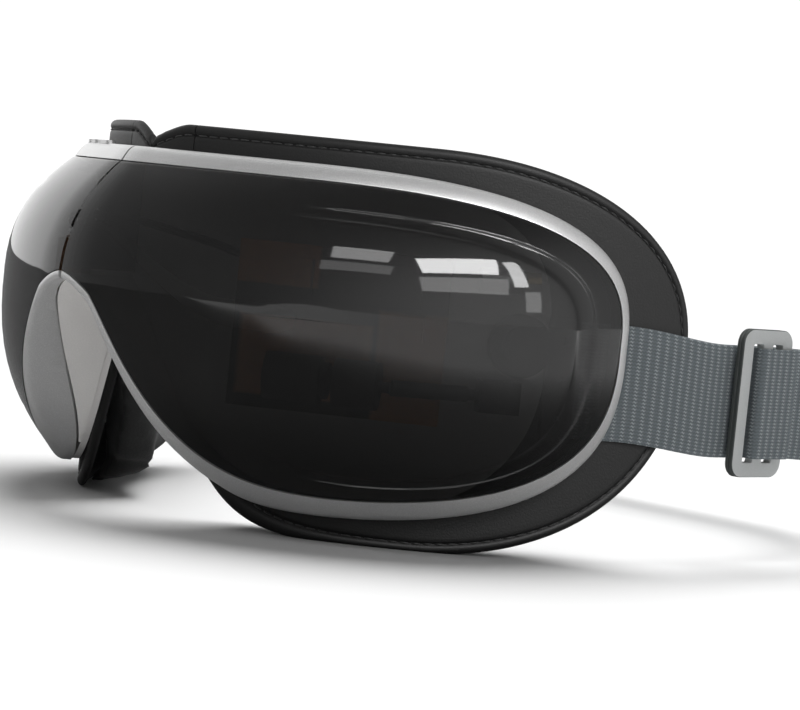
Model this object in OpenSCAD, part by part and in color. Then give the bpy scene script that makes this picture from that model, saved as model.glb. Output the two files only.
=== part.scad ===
// Eye massager mask: two curved housings that fold at the nose bridge, padded
// face cushions behind them and an elastic strap with a sliding buckle.
// +X is the wearer's left, -Y is the front, +Z is up. The mask stands on the
// lower edges of its cushions, at z = 0, and x = 0 is the fold.

/* [Plan curve] */
// Radius of the short bend over the nose
bridge_r = 20; // [16:1:30]
// Angle of the short bend, each side
bridge_turn = 15.6; // [12:0.1:20]
// Radius of the long curve of each side
side_r = 138; // [125:1:155]

/* [Housing] */
// Length of each housing along the curve
shell_len = 138.7; // [130:0.1:145]
// Height of the housing above its middle line
shell_top = 38.5; // [36:0.1:42]
// Height of the housing below its middle line
shell_low = 50; // [46:0.1:52]
// Length of the straight stretch before the rounded end
shell_straight = 46.7; // [40:0.1:52]
// Squareness of the rounded end
shell_power = 2.8; // [2.4:0.1:3]
// Height of the nose arch's apex above the middle line
arch_apex = 3; // [0:0.5:5]
// Width of the nose arch, each side
arch_w = 20.8; // [18:0.1:24]
// Sharpness of the nose arch
arch_power = 1.62; // [1.5:0.01:1.8]
// Depth of the bezel behind its outer edge
bezel_depth = 4; // [3.5:0.1:4.5]
// Width of the bezel along the top
bezel_top_w = 4; // [3.6:0.1:4.4]
// Width of the bezel along the bottom
bezel_low_w = 4.8; // [4.4:0.1:5.2]
// Width of the bezel at the end
bezel_end_w = 3.7; // [3.3:0.1:4]
// Width of the rim of the nose arch
bezel_arch_w = 2; // [1.6:0.1:2.4]
// Thickness of the lens
lens_t = 2; // [1.6:0.1:2.2]
// Height of the lens edge in front of the bezel's outer edge
lens_edge = 2.7; // [2:0.1:3]
// Height of the lens's crown over its edge
lens_crown = 16.25; // [14:0.25:18]
// Roundness of the lens's crown
crown_power = 2.54; // [2.2:0.01:3]
// Thickness of the back shell
back_t = 1.8; // [1.6:0.1:2]

/* [Cushion] */
// Overhang of the cushion beyond the housing's end
pad_end = 23.5; // [20:0.5:26]
// Overhang of the cushion above the housing
pad_top = 6.8; // [5:0.1:8]
// Overhang of the cushion below the housing
pad_low = 6.7; // [6:0.1:8]
// Length of the cushion's straight stretch
pad_straight = 83.7; // [75:0.1:90]
// Squareness of the cushion's end
pad_power = 2.14; // [2:0.01:2.4]
// Thickness of the covered panel
panel_t = 2.5; // [2:0.1:3]
// Thickness of the padding over the cheek and temple
pad_t = 11; // [8:0.5:12]

/* [Strap] */
// Width of the webbing
strap_w = 30; // [28:0.5:32]
// Thickness of the webbing
strap_t = 1.6; // [1.2:0.1:1.6]
// Height of the strap's middle below the middle line
strap_drop = 9.7; // [8:0.1:11]
// How much lower the back of the loop hangs
strap_sag = 10; // [6:0.5:11]
// Height of the buckle
buckle_h = 39.5; // [36:0.5:42]
// Width of the buckle
buckle_w = 21; // [19:0.5:24]
// Thickness of the buckle
buckle_t = 2.6; // [2.2:0.1:3]

/* [Fold] */
// Distance of the fold's pin behind the plan curve
pin_back = 10.5; // [10:0.1:11]
// Radius of the pin
pin_r = 1.5; // [1.2:0.1:1.6]
// Radius of the knuckles
knuckle_r = 3.4; // [3.2:0.1:3.6]

/* [Buttons] */
// Length of a button
button_len = 9; // [8:0.5:10]
// Width of a button
button_w = 2.4; // [2.2:0.1:2.5]
// Height of a button over the bezel
button_proud = 0.8; // [0.7:0.1:1]

/* [Hidden] */

mid_z = shell_low + pad_low;     // the middle line's height over the table
seam_gap = 0.3;                  // half of the split between the two halves
clear = 0.3;                     // gap between neighbouring layers
bridge_len = bridge_r * bridge_turn * PI / 180;
columns = 22;                    // stations along each layer
rows = 8;                        // divisions of each station's height
tip = 0.9985;                    // where the last station stands, just inside the end

// Depths of the layers, measured towards the front from the plan curve
shell_back = -bezel_depth - clear + 0.1;
panel_front = shell_back - back_t - clear;
pad_front = panel_front - panel_t - clear;
bladder_t = 3;
heater_t = 0.8;
pocket = bladder_t + heater_t + 4 * clear;
pad_start = 17;                  // where the cushions begin, each side of the fold

// An outline is [length, top, low, straight, power, arch lift]
outer_line = [shell_len, shell_top, shell_low, shell_straight, shell_power, 0];
lens_line = [shell_len - bezel_end_w, shell_top - bezel_top_w, shell_low - bezel_low_w,
  shell_straight, shell_power, bezel_arch_w];
back_line = [118, shell_top - 0.4, shell_low - 0.4, 44, shell_power, 0.4];
liner_line = [shell_len - 1.6, shell_top - 1.6, shell_low - 1.6, shell_straight, shell_power, 1.6];
flat_cut = 0.8;                  // how far the cushion's lower edge is pressed flat by the table
panel_line = [shell_len + pad_end, shell_top + pad_top, mid_z + flat_cut, pad_straight, pad_power, 1.5];
pad_line = [shell_len + pad_end - 3, shell_top + pad_top - 3, mid_z + flat_cut, pad_straight, pad_power, 4];
bladder_line = [136, 32, 42, 66, 2.4, 12];
heater_line = [134, 30, 40, 66, 2.4, 13];

function inset(line, by) = [line[0] - by, line[1] - by, line[2] - by, line[3], line[4], line[5] + by];
function turn(s) = s < bridge_len ? s / bridge_r * 180 / PI
  : bridge_turn + (s - bridge_len) / side_r * 180 / PI;
function plan(s) = let (a = turn(s), b = min(a, bridge_turn))
  [bridge_r * sin(b) + side_r * (sin(max(a, b)) - sin(b)),
   bridge_r * (1 - cos(b)) + side_r * (cos(b) - cos(max(a, b)))];
function front(s) = [sin(turn(s)), -cos(turn(s))];
function spot(s, w, z) = let (p = plan(s) + w * front(s)) [p[0], p[1], z + mid_z];
function end_share(line, s) = s <= line[3] ? 1
  : pow(max(0, 1 - pow((s - line[3]) / (line[0] - line[3]), line[4])), 1 / line[4]);
function arch_share(line, s) = exp(-pow(s / (arch_w + line[5]), arch_power));
function top_z(line, s) = line[1] * end_share(line, s);
function low_z(line, s) = max(-mid_z, -line[2] * end_share(line, s)
  + (line[2] + arch_apex + line[5]) * arch_share(line, s));
// 0 at the middle of an outline without its arch, and 1 on it
function field(line, s, z) =
  let (q = max(0, s - line[3]) / (line[0] - line[3]), m = z > 0 ? z / line[1] : -z / line[2])
  pow(pow(q, line[4]) + pow(m, line[4]), 1 / line[4]);
function crown(s, z) = lens_edge
  + lens_crown * (1 - pow(min(1, field(lens_line, s, z)), crown_power));
function stations(line, from, n = columns) = [for (i = [0:n])
  from + (line[0] * tip - from) * (1 - cos(180 * i / n)) / 2];
function ease(x) = let (c = min(1, max(0, x))) c * c * (3 - 2 * c);

// A closed skin over a row of rings with equal counts of points
module skin(rings) {
  n = len(rings[0]);
  m = len(rings);
  points = [for (ring = rings) each ring];
  sides = [for (i = [0:m - 2], k = [0:n - 1]) let (a = i * n + k, b = i * n + (k + 1) % n)
    each [[a, a + n, b + n], [a, b + n, b]]];
  last = (m - 1) * n;
  caps = [for (k = [0:n / 2 - 2]) let (a = k, b = k + 1, c = n - 2 - k, d = n - 1 - k)
    each [[a, b, c], [a, c, d], [last + c, last + b, last + a], [last + d, last + c, last + a]]];
  polyhedron(points, concat(sides, caps), convexity = 6);
}

// A layer that follows the plan curve inside an outline, between two depths
module layer(line, from, back, face, n = columns, m = rows) {
  skin([for (s = stations(line, from, n))
    let (lo = low_z(line, s), hi = max(top_z(line, s), lo + 0.4),
         zs = [for (j = [0:m]) lo + (hi - lo) * j / m])
    concat([for (z = zs) spot(s, back(s, z), z)],
           [for (j = [m:-1:0]) spot(s, face(s, zs[j]), zs[j])])]);
}

// The rim between two outlines, over the top, round the end and back below
module rim(outer, inner, back, face, inner_face) {
  n = columns;
  so = stations(outer, seam_gap);
  si = stations(inner, seam_gap);
  over = [for (i = [0:n]) [so[i], top_z(outer, so[i]), si[i], top_z(inner, si[i]), 0]];
  under = [for (i = [n:-1:0]) [so[i], low_z(outer, so[i]), si[i], low_z(inner, si[i]), 1]];
  skin([for (p = concat(over, under)) let (arch = p[4] * arch_share(outer, p[0]))
    [spot(p[2], back(p[2], p[3], arch), p[3]), spot(p[0], back(p[0], p[1], arch), p[1]),
     spot(p[0], face(p[0], p[1], arch), p[1]), spot(p[2], inner_face(p[2], p[3]), p[3])]]);
}

// Puts a piece on the plan curve: its x runs along the curve and its y towards the face
module on_curve(s, w, z) {
  translate(spot(s, w, z)) rotate(turn(s)) children();
}

module other_side() {
  mirror([1, 0, 0]) children();
}

module bar(size) {
  translate([-size[0] / 2, -size[1] / 2, -size[2] / 2]) cube(size);
}

module rounded_bar(length, width, height) {
  for (side = [-1, 1]) translate([side * (length - width) / 2, 0, 0]) cylinder(d = width, h = height, $fn = 24);
  translate([-(length - width) / 2, -width / 2, 0]) cube([length - width, width, height]);
}

function bezel_back(s, z, arch) = -bezel_depth * (1 - arch) + (crown(s, z) - 3) * arch;
function bezel_face(s, z, arch) = crown(s, z) - lens_edge * (1 - ease(arch * 3));

module bezel_half() {
  rim(outer_line, lens_line, function (s, z, arch) bezel_back(s, z, arch),
      function (s, z, arch) bezel_face(s, z, arch), function (s, z) crown(s, z));
}

screw_spots = [[16, 1], [74, 1], [54, -1], [92, -1]];
function screw_z(p) = (p[1] > 0 ? top_z(outer_line, p[0]) - bezel_top_w / 2 : low_z(outer_line, p[0]) + bezel_low_w / 2);
screw_r = 0.9;
screw_head_r = 1.5;
screw_len = 5;
head_t = 0.9;

module at_screws() {
  for (p = screw_spots) on_curve(p[0], shell_back - back_t, screw_z(p)) rotate([90, 0, 0]) children();
}

module screws_half() {
  at_screws() {
    cylinder(r = screw_head_r, h = head_t, $fn = 24);
    cylinder(r = screw_r, h = screw_len, $fn = 24);
  }
}

module shell_screws_left() color("dimgray") screws_half();
module shell_screws_right() color("dimgray") other_side() screws_half();

module screw_holes() {
  at_screws() {
    translate([0, 0, -1]) cylinder(r = screw_head_r + 0.15, h = head_t + 1.1, $fn = 24);
    cylinder(r = screw_r + 0.15, h = screw_len + 0.3, $fn = 24);
  }
}

button_spots = [24, 38, 52];
button_names = ["power", "mode", "sound"];
button_w_pos = -1.9;             // depth of the buttons' middle line
button_travel = 0.6;
flange_z = shell_top - bezel_top_w - 1.2;
light_s = 66;
light_r = 1;
port_s = 62;
port_len = 8.9;
port_w = 3.2;
port_deep = 7.2;

module bezel_left() color("silver") difference() {
  bezel_half();
  screw_holes();
}

module bezel_right() color("silver") other_side() difference() {
  bezel_half();
  screw_holes();
  for (s = button_spots) on_curve(s, button_w_pos, flange_z + 0.5) rounded_bar(button_len + 0.4, button_w + 0.4, 9);
  on_curve(light_s, button_w_pos, flange_z) cylinder(r = light_r + 0.1, h = 9, $fn = 24);
  on_curve(port_s, button_w_pos, -shell_low - 1) rounded_bar(port_len + 0.3, port_w + 0.3, 9);
}

module lens_half() {
  line = inset(lens_line, 0.2);
  layer(line, seam_gap, function (s, z) crown(s, z) - lens_t, function (s, z) crown(s, z), m = 10);
}
module lens_left() color([0.1, 0.1, 0.11, 0.8]) lens_half();
module lens_right() color([0.1, 0.1, 0.11, 0.8]) other_side() lens_half();

module back_shell_half() difference() {
  layer(back_line, seam_gap, function (s, z) shell_back - back_t, function (s, z) shell_back, m = 6);
  screw_holes();
}
module back_shell_left() color("dimgray") back_shell_half();
module back_shell_right() color("dimgray") other_side() back_shell_half();

// The wall of the nose arch, from the rim back to the back shell
module nose_liner_half() {
  far = 31;
  n = 14;
  skin([for (i = [0:n]) let (s = seam_gap + (far - seam_gap) * i / n,
      outer = low_z(outer_line, s), inner = low_z(liner_line, s), arch = arch_share(outer_line, s))
    [spot(s, shell_back + 0.2, outer), spot(s, shell_back + 0.2, inner),
     spot(s, bezel_back(s, inner, arch) - 0.4, inner), spot(s, bezel_back(s, outer, arch) - 0.4, outer)]]);
}
module nose_liner_left() color("gray") nose_liner_half();
module nose_liner_right() color("gray") other_side() nose_liner_half();

// The wires cross the fold at this depth and height
wire_w = 9;
wire_z = 20;
wire_r = 1.3;

// The wall that closes each half at the fold
module seam_cap_half() {
  low = arch_apex + 3;
  high = shell_top - bezel_top_w - 1;
  n = 10;
  face = [for (i = [0:n]) let (z = low + (high - low) * i / n) [-(crown(0, z) - lens_t - 0.4), z + mid_z]];
  translate([seam_gap, 0, 0]) rotate([90, 0, 90]) linear_extrude(1.2) difference() {
    polygon(concat(face, [[-shell_back - 0.5, high + mid_z], [-shell_back - 0.5, low + mid_z]]));
    translate([-wire_w, wire_z + mid_z]) circle(r = wire_r + 0.8, $fn = 24);
  }
}
module seam_cap_left() color("dimgray") seam_cap_half();
module seam_cap_right() color("dimgray") other_side() seam_cap_half();

module panel_half() {
  layer(panel_line, pad_start - 1, function (s, z) panel_front - panel_t, function (s, z) panel_front, m = 6);
}
module cushion_panel_left() color([0.12, 0.12, 0.12]) panel_half();
module cushion_panel_right() color([0.12, 0.12, 0.12]) other_side() panel_half();

// The padded tab of each panel that closes the brow above the fold
tab_start = 0.5;
tab_end = pad_start - 1.3;
tab_low = 36;
tab_drop = 5;                    // how much lower the tab is at the fold
module brow_tab_half() {
  n = 8;
  skin([for (i = [0:n]) let (s = tab_start + (tab_end - tab_start) * i / n,
      hi = panel_line[1] - tab_drop * (1 - ease(s / 20)))
    [spot(s, panel_front - panel_t, tab_low), spot(s, panel_front - panel_t, hi),
     spot(s, panel_front, hi), spot(s, panel_front, tab_low)]]);
}
module brow_tab_left() color([0.12, 0.12, 0.12]) brow_tab_half();
module brow_tab_right() color([0.12, 0.12, 0.12]) other_side() brow_tab_half();

eye_s = 50;                      // middle of the eye recess along the curve
eye_rx = 27;
eye_rz = 21;
// Share of the padding left by the eye recess
function eye_share(s, z) = ease(sqrt(pow((s - eye_s) / eye_rx, 2) + pow((z + 2) / eye_rz, 2)) - 0.55);
function pad_cover(s, z) = ease((1 - field(pad_line, s, z)) / 0.16);
function nose_taper(s) = ease((s - pad_start) / 30);
function pad_back(s, z) = pad_front - 1.2
  - pad_cover(s, z) * nose_taper(s + 8) * (pocket + 1.5 + (pad_t - 1.5) * eye_share(s, z));

module face_cushion_half() {
  layer(pad_line, pad_start, function (s, z) pad_back(s, z),
        function (s, z) pad_front - pocket * ease((0.97 - field(pad_line, s, z)) / 0.1) * ease((s - pad_start) / 10),
        n = 30, m = 14);
}
module face_cushion_left() color([0.18, 0.18, 0.18]) face_cushion_half();
module face_cushion_right() color([0.18, 0.18, 0.18]) other_side() face_cushion_half();

bladder_start = 36;
module bladder_half() {
  layer(bladder_line, bladder_start, function (s, z) pad_front - bladder_t,
        function (s, z) pad_front, n = 14, m = 5);
}
module air_bladder_left() color([0.6, 0.6, 0.65]) bladder_half();
module air_bladder_right() color([0.6, 0.6, 0.65]) other_side() bladder_half();

module heater_half() {
  back = pad_front - bladder_t - clear;
  layer(heater_line, bladder_start + 1, function (s, z) back - heater_t, function (s, z) back, n = 14, m = 4);
}
module heating_pad_left() color([0.75, 0.45, 0.15]) heater_half();
module heating_pad_right() color([0.75, 0.45, 0.15]) other_side() heater_half();

// The fold: a pin through two outer knuckles on one leaf and a middle one on the other
pin_low = 9;
pin_high = 33;
knuckle_h = 6;
leaf_turn = 17;
leaf_len = 8.6;
leaf_t = 1.4;
knuckle_gap = 0.3;

module hinge_leaf(z0, z1, knuckles) {
  difference() {
    union() {
      for (k = knuckles) translate([0, pin_back, mid_z + k[0]]) cylinder(r = knuckle_r, h = k[1] - k[0], $fn = 32);
      for (k = knuckles) translate([1.2, pin_back - knuckle_r, mid_z + k[0]])
        rotate(leaf_turn) cube([5, leaf_t, k[1] - k[0]]);
      translate([4, pin_back - knuckle_r + 0.85, mid_z + z0]) rotate(leaf_turn) cube([leaf_len - 2, leaf_t, z1 - z0]);
    }
    translate([0, pin_back, mid_z + z0 - 1]) cylinder(r = pin_r + 0.05, h = z1 - z0 + 2, $fn = 32);
  }
}
module hinge_leaf_left() color("darkgray") hinge_leaf(pin_low, pin_high,
  [[pin_low, pin_low + knuckle_h], [pin_high - knuckle_h, pin_high]]);
module hinge_leaf_right() color("darkgray") other_side() hinge_leaf(pin_low, pin_high,
  [[pin_low + knuckle_h + knuckle_gap, pin_high - knuckle_h - knuckle_gap]]);
module hinge_pin() color("lightgray") translate([0, pin_back, mid_z + pin_low - 0.5])
  cylinder(r = pin_r, h = pin_high - pin_low + 1, $fn = 32);

// The soft bellows that covers the fold between the two cushions
module bridge_gusset() color([0.1, 0.1, 0.1]) {
  half_w = 11.6;
  near_y = 13;
  back_y = pin_back + knuckle_r + 0.6;
  cloth_t = 1.1;
  low = 7;
  tall = 29;
  side = [[0, back_y], [5, back_y], [half_w, near_y]];
  edge = [for (p = side) [p[0], p[1] + cloth_t]];
  outline = concat([for (i = [2:-1:1]) [-side[i][0], side[i][1]]], side,
    [edge[2], edge[1], edge[0]], [for (i = [1:2]) [-edge[i][0], edge[i][1]]]);
  translate([0, 0, mid_z + low]) linear_extrude(tall) polygon(outline);
}

// Electronics in the wearer's left half
board_s = 63;
board_z = -3;
board_size = [54, 1.4, 42];
pump_s = 60;
pump_z = -15;
pump_w = 6.4;
pump_r = 6;

module main_board() color([0.35, 0.2, 0.12]) on_curve(board_s, -1.8, board_z) {
  bar(board_size);
  translate([14, -1.7, 13]) bar([12, 2, 10]);
  translate([-12, -1.7, 13]) bar([9, 2, 9]);
  translate([19, -2.2, 3]) bar([5, 3, 7]);
}

module air_pump() color([0.85, 0.85, 0.8]) on_curve(pump_s, pump_w, pump_z) {
  translate([4.6, 0, 0]) rotate([0, 90, 0]) cylinder(r = pump_r, h = 11, $fn = 48);
  translate([15.5, 0, 0]) rotate([0, 90, 0]) cylinder(r = 1.4, h = 3, $fn = 24);
}

module pump_motor() color("silver") on_curve(pump_s, pump_w, pump_z) difference() {
  translate([-13, 0, 0]) rotate([0, 90, 0]) cylinder(r = pump_r, h = 14, $fn = 48);
  translate([-3, 0, 0]) rotate([0, 90, 0]) cylinder(r = 0.8, h = 5, $fn = 24);
}

module pump_crank() color("white") on_curve(pump_s, pump_w, pump_z) {
  translate([-2.7, 0, 0]) rotate([0, 90, 0]) cylinder(r = 0.75, h = 4.5, $fn = 24);
  translate([1.4, 0, 0]) rotate([0, 90, 0]) cylinder(r = 4.6, h = 1.5, $fn = 32);
  translate([2.8, 0, 2.8]) rotate([0, 90, 0]) cylinder(r = 1, h = 1.3, $fn = 24);
}

valve_s = 104;
valve_w = 3;
module air_valve() color([0.2, 0.2, 0.25]) on_curve(valve_s, valve_w, pump_z) {
  bar([10, 8, 8]);
  translate([-7.5, 0, 0]) rotate([0, 90, 0]) cylinder(r = 1.4, h = 3, $fn = 24);
}

// The short hose between the pump's nozzle and the valve's
module air_hose() color([0.9, 0.9, 0.9]) {
  n = 6;
  sides = 10;
  a = spot(pump_s, pump_w, pump_z) + 18.9 * [cos(turn(pump_s)), sin(turn(pump_s)), 0];
  b = spot(valve_s, valve_w, pump_z) - 7.9 * [cos(turn(valve_s)), sin(turn(valve_s)), 0];
  skin([for (i = [0:n]) let (t = i / n, c = a + (b - a) * t, h = turn(pump_s) + (turn(valve_s) - turn(pump_s)) * t)
    [for (k = [0:sides - 1]) let (g = 360 * k / sides)
      c + 2 * [cos(g) * -sin(h), cos(g) * cos(h), sin(g)]]]);
}

// Electronics in the wearer's right half
module battery() color([0.15, 0.25, 0.5]) other_side() on_curve(68, 0, -4) bar([48, 7, 32]);
module charge_board() color([0.05, 0.3, 0.15]) other_side() on_curve(port_s, button_w_pos, -36) {
  bar([22, 1.2, 10]);
  translate([-6, -1.2, 1]) bar([5, 1.2, 4]);
}

vib_s = 103;
vib_z = 14;
vib_w = 1;
module vibration_motor() on_curve(vib_s, vib_w, vib_z) difference() {
  translate([-6, 0, 0]) rotate([0, 90, 0]) cylinder(r = 3, h = 11, $fn = 32);
  translate([1, 0, 0]) rotate([0, 90, 0]) cylinder(r = 0.6, h = 5, $fn = 24);
}
module vibration_weight() on_curve(vib_s, vib_w, vib_z) {
  translate([1.5, 0, 0]) rotate([0, 90, 0]) cylinder(r = 0.55, h = 5, $fn = 24);
  translate([5.6, 0, 0]) rotate([0, 90, 0]) rotate(90) rotate_extrude(angle = 180, $fn = 32) square([2.8, 3.5]);
}
module vibration_motor_left() color("silver") vibration_motor();
module vibration_motor_right() color("silver") other_side() vibration_motor();
module vibration_weight_left() color("goldenrod") vibration_weight();
module vibration_weight_right() color("goldenrod") other_side() vibration_weight();

module speaker() on_curve(109, -0.2, -2) rotate([90, 0, 0]) {
  translate([0, 0, -1.8]) cylinder(r = 8, h = 3.6, $fn = 40);
  translate([0, 0, 1.7]) cylinder(r = 5, h = 0.9, $fn = 40);
}
module speaker_left() color([0.1, 0.1, 0.1]) speaker();
module speaker_right() color([0.1, 0.1, 0.1]) other_side() speaker();

module button(i) other_side() on_curve(button_spots[i], button_w_pos, flange_z) {
  rounded_bar(button_len + 1.2, button_w + 0.8, 0.8);
  rounded_bar(button_len, button_w, shell_top + button_proud - flange_z);
}
module power_button() color([0.75, 0.75, 0.75]) button(0);
module mode_button() color([0.75, 0.75, 0.75]) button(1);
module sound_button() color([0.75, 0.75, 0.75]) button(2);

module button_board() color([0.05, 0.3, 0.15]) other_side() {
  on_curve(button_spots[1], button_w_pos + 0.4, flange_z - 3) translate([-19, -1.6, 0]) cube([38, 3.2, 1.2]);
  for (s = button_spots) on_curve(s, button_w_pos, flange_z - 1.9) translate([-1.5, -0.9, 0]) cube([3, 1.8, 1.1]);
}

module status_light() color([0.9, 0.95, 1]) other_side() on_curve(light_s, button_w_pos, flange_z + 0.4)
  cylinder(r = light_r, h = top_z(outer_line, light_s) - flange_z - 0.5, $fn = 24);

module charging_port() color("silver") other_side() on_curve(port_s, button_w_pos, -shell_low + 0.4) difference() {
  rounded_bar(port_len, port_w, port_deep);
  translate([0, 0, -1]) rounded_bar(port_len - 0.6, port_w - 0.6, port_deep);
}

// The strap's path: along the housing's back, out past its end and round the head
strap_depth = -5.4;
strap_from = 118.6;
strap_exit = 139;
loop_start = turn(strap_exit) - 4;
lead_r = 70;                     // bend between the housing and the buckle
lead_turn = 92 - loop_start;
lead_len = lead_r * lead_turn * PI / 180;
straight_len = 44;
corner_r = 70;                   // bend at the back of the head
exit_p = plan(strap_exit) + strap_depth * front(strap_exit);
function ahead(p, a, d) = p + d * [cos(a), sin(a)];
function bend(p, a, r, by) = p + r * [sin(a + by) - sin(a), cos(a) - cos(a + by)];
lead_end = bend(exit_p, loop_start, lead_r, lead_turn);
straight_end = ahead(lead_end, 92, straight_len);
corner_end = bend(straight_end, 92, corner_r, 88);
loop_len = lead_len + straight_len + corner_r * 88 * PI / 180 + corner_end[0];
// Place and heading at a distance past the housing's end
function strap_p(d) = d < 0 ? plan(strap_exit + d) + strap_depth * front(strap_exit + d)
  : d < lead_len ? bend(exit_p, loop_start, lead_r, d / lead_r * 180 / PI)
  : d < lead_len + straight_len ? ahead(lead_end, 92, d - lead_len)
  : d < loop_len - corner_end[0] ? bend(straight_end, 92, corner_r, (d - lead_len - straight_len) / corner_r * 180 / PI)
  : [loop_len - d, corner_end[1]];
function strap_a(d) = d < 0 ? turn(strap_exit + d)
  : d < lead_len ? loop_start + d / lead_r * 180 / PI
  : d < lead_len + straight_len ? 92
  : min(180, 92 + (d - lead_len - straight_len) / corner_r * 180 / PI);
near_drop = 3.1;                 // how far the webbing falls between the housing and the buckle
function strap_z(d) = mid_z - strap_drop - near_drop * ease(d / (lead_len + 6))
  - (strap_sag - near_drop) * ease((d - lead_len - straight_len + 20) / 110);
function strap_ring(d) = let (p = strap_p(d), a = strap_a(d), t = strap_t / 2, h = strap_w / 2, z = strap_z(d),
    f = [sin(a), -cos(a)] * t)
  [[p[0] - f[0], p[1] - f[1], z - h], [p[0] - f[0], p[1] - f[1], z + h],
   [p[0] + f[0], p[1] + f[1], z + h], [p[0] + f[0], p[1] + f[1], z - h]];

module webbing(from, to, n) skin([for (i = [0:n]) strap_ring(from + (to - from) * i / n)]);

left_end = lead_len + straight_len - 1;
right_end = lead_len + 2;
strap_color = [0.42, 0.45, 0.47];
module strap_left() color(strap_color) webbing(strap_from - strap_exit, left_end, 24);
module strap_right() color(strap_color) other_side() webbing(strap_from - strap_exit, right_end, 14);
module strap_back() color(strap_color) {
  n = 20;
  left = [for (i = [0:n]) strap_ring(left_end + 0.1 + (loop_len - left_end - 0.1) * i / n)];
  right = [for (i = [n - 1:-1:0]) strap_ring(right_end + 0.1 + (loop_len - right_end - 0.1) * i / n)];
  skin(concat(left, [for (ring = right) [for (p = ring) [-p[0], p[1], p[2]]]]));
}

module strap_anchor() on_curve(121.5, -3.3, -strap_drop) difference() {
  bar([8, 1.8, strap_w + 1]);
  for (z = [-10, 0, 10]) translate([0, 2, z]) rotate([90, 0, 0]) cylinder(r = 1, h = 4, $fn = 24);
}
module strap_anchor_left() color([0.3, 0.3, 0.3]) strap_anchor();
module strap_anchor_right() color([0.3, 0.3, 0.3]) other_side() strap_anchor();

// The buckle lies on the straight stretch: two slots either side of a middle bar
buckle_d = lead_len + 18.5;
slot_w = 4.2;
bar_w = 4;
buckle_out = 2.9;                // distance of the buckle's middle plane in front of the webbing
module at_buckle() {
  p = strap_p(buckle_d);
  translate([p[0], p[1], strap_z(buckle_d)]) rotate(strap_a(buckle_d)) children();
}
module buckle() color([0.62, 0.63, 0.63]) at_buckle() translate([0, -buckle_out + buckle_t / 2, 0]) rotate([90, 0, 0])
  linear_extrude(buckle_t) difference() {
    corner = 4;
    union() {
      square([buckle_w - 2 * corner, buckle_h], center = true);
      square([buckle_w, buckle_h - 2 * corner], center = true);
      for (x = [-1, 1], y = [-1, 1]) translate([x * (buckle_w / 2 - corner), y * (buckle_h / 2 - corner)])
        circle(r = corner, $fn = 32);
    }
    for (side = [-1, 1]) translate([side * (bar_w + slot_w) / 2, 0]) square([slot_w, strap_w + 1.6], center = true);
  }

// The webbing's turn up through one slot and over the middle bar and the far rail
module strap_fold() color(strap_color) at_buckle() {
  over = bar_w / 2 + 0.5;
  past = buckle_w / 2 + 0.5;
  high = buckle_out + buckle_t / 2 + 0.4;
  low = strap_t / 2 + 0.25;
  t = 1.2;
  translate([0, 0, -strap_w / 2 + 0.3]) linear_extrude(strap_w - 0.6) polygon([
    [-over - t, -low], [-over - t, -high], [-over, -high - t], [past, -high - t], [past + t, -high],
    [past + t, -low], [past, -low], [past, -high], [-over, -high], [-over, -low]]);
}

// The wires between the two boards, over the fold
module wire_bundle() color([0.7, 0.1, 0.1]) {
  n = 12;
  sides = 8;
  reach = 36;
  path = [for (i = [0:n]) let (s = -reach + 2 * reach * i / n, drop = pow(s / reach, 2),
      p = plan(abs(s)) + (wire_w - 8 * drop) * front(abs(s)))
    [s < 0 ? -p[0] : p[0], p[1], mid_z + wire_z - 6 * drop]];
  skin([for (i = [0:n]) let (a = path[max(0, i - 1)], b = path[min(n, i + 1)], h = atan2(b[1] - a[1], b[0] - a[0]))
    [for (k = [0:sides - 1]) let (g = 360 * k / sides)
      path[i] + wire_r * [cos(g) * -sin(h), cos(g) * cos(h), sin(g)]]]);
}

bezel_left();
bezel_right();
lens_left();
lens_right();
back_shell_left();
back_shell_right();
nose_liner_left();
nose_liner_right();
seam_cap_left();
seam_cap_right();
cushion_panel_left();
cushion_panel_right();
brow_tab_left();
brow_tab_right();
face_cushion_left();
face_cushion_right();
air_bladder_left();
air_bladder_right();
heating_pad_left();
heating_pad_right();
hinge_pin();
hinge_leaf_left();
hinge_leaf_right();
bridge_gusset();
main_board();
battery();
charge_board();
air_pump();
pump_motor();
pump_crank();
air_valve();
air_hose();
vibration_motor_left();
vibration_motor_right();
vibration_weight_left();
vibration_weight_right();
speaker_left();
speaker_right();
power_button();
mode_button();
sound_button();
button_board();
charging_port();
status_light();
strap_left();
strap_back();
strap_right();
strap_anchor_left();
strap_anchor_right();
buckle();
strap_fold();
shell_screws_left();
shell_screws_right();
wire_bundle();
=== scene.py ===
import math
import bpy
import bmesh
import numpy as np
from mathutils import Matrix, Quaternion, Vector


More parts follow.
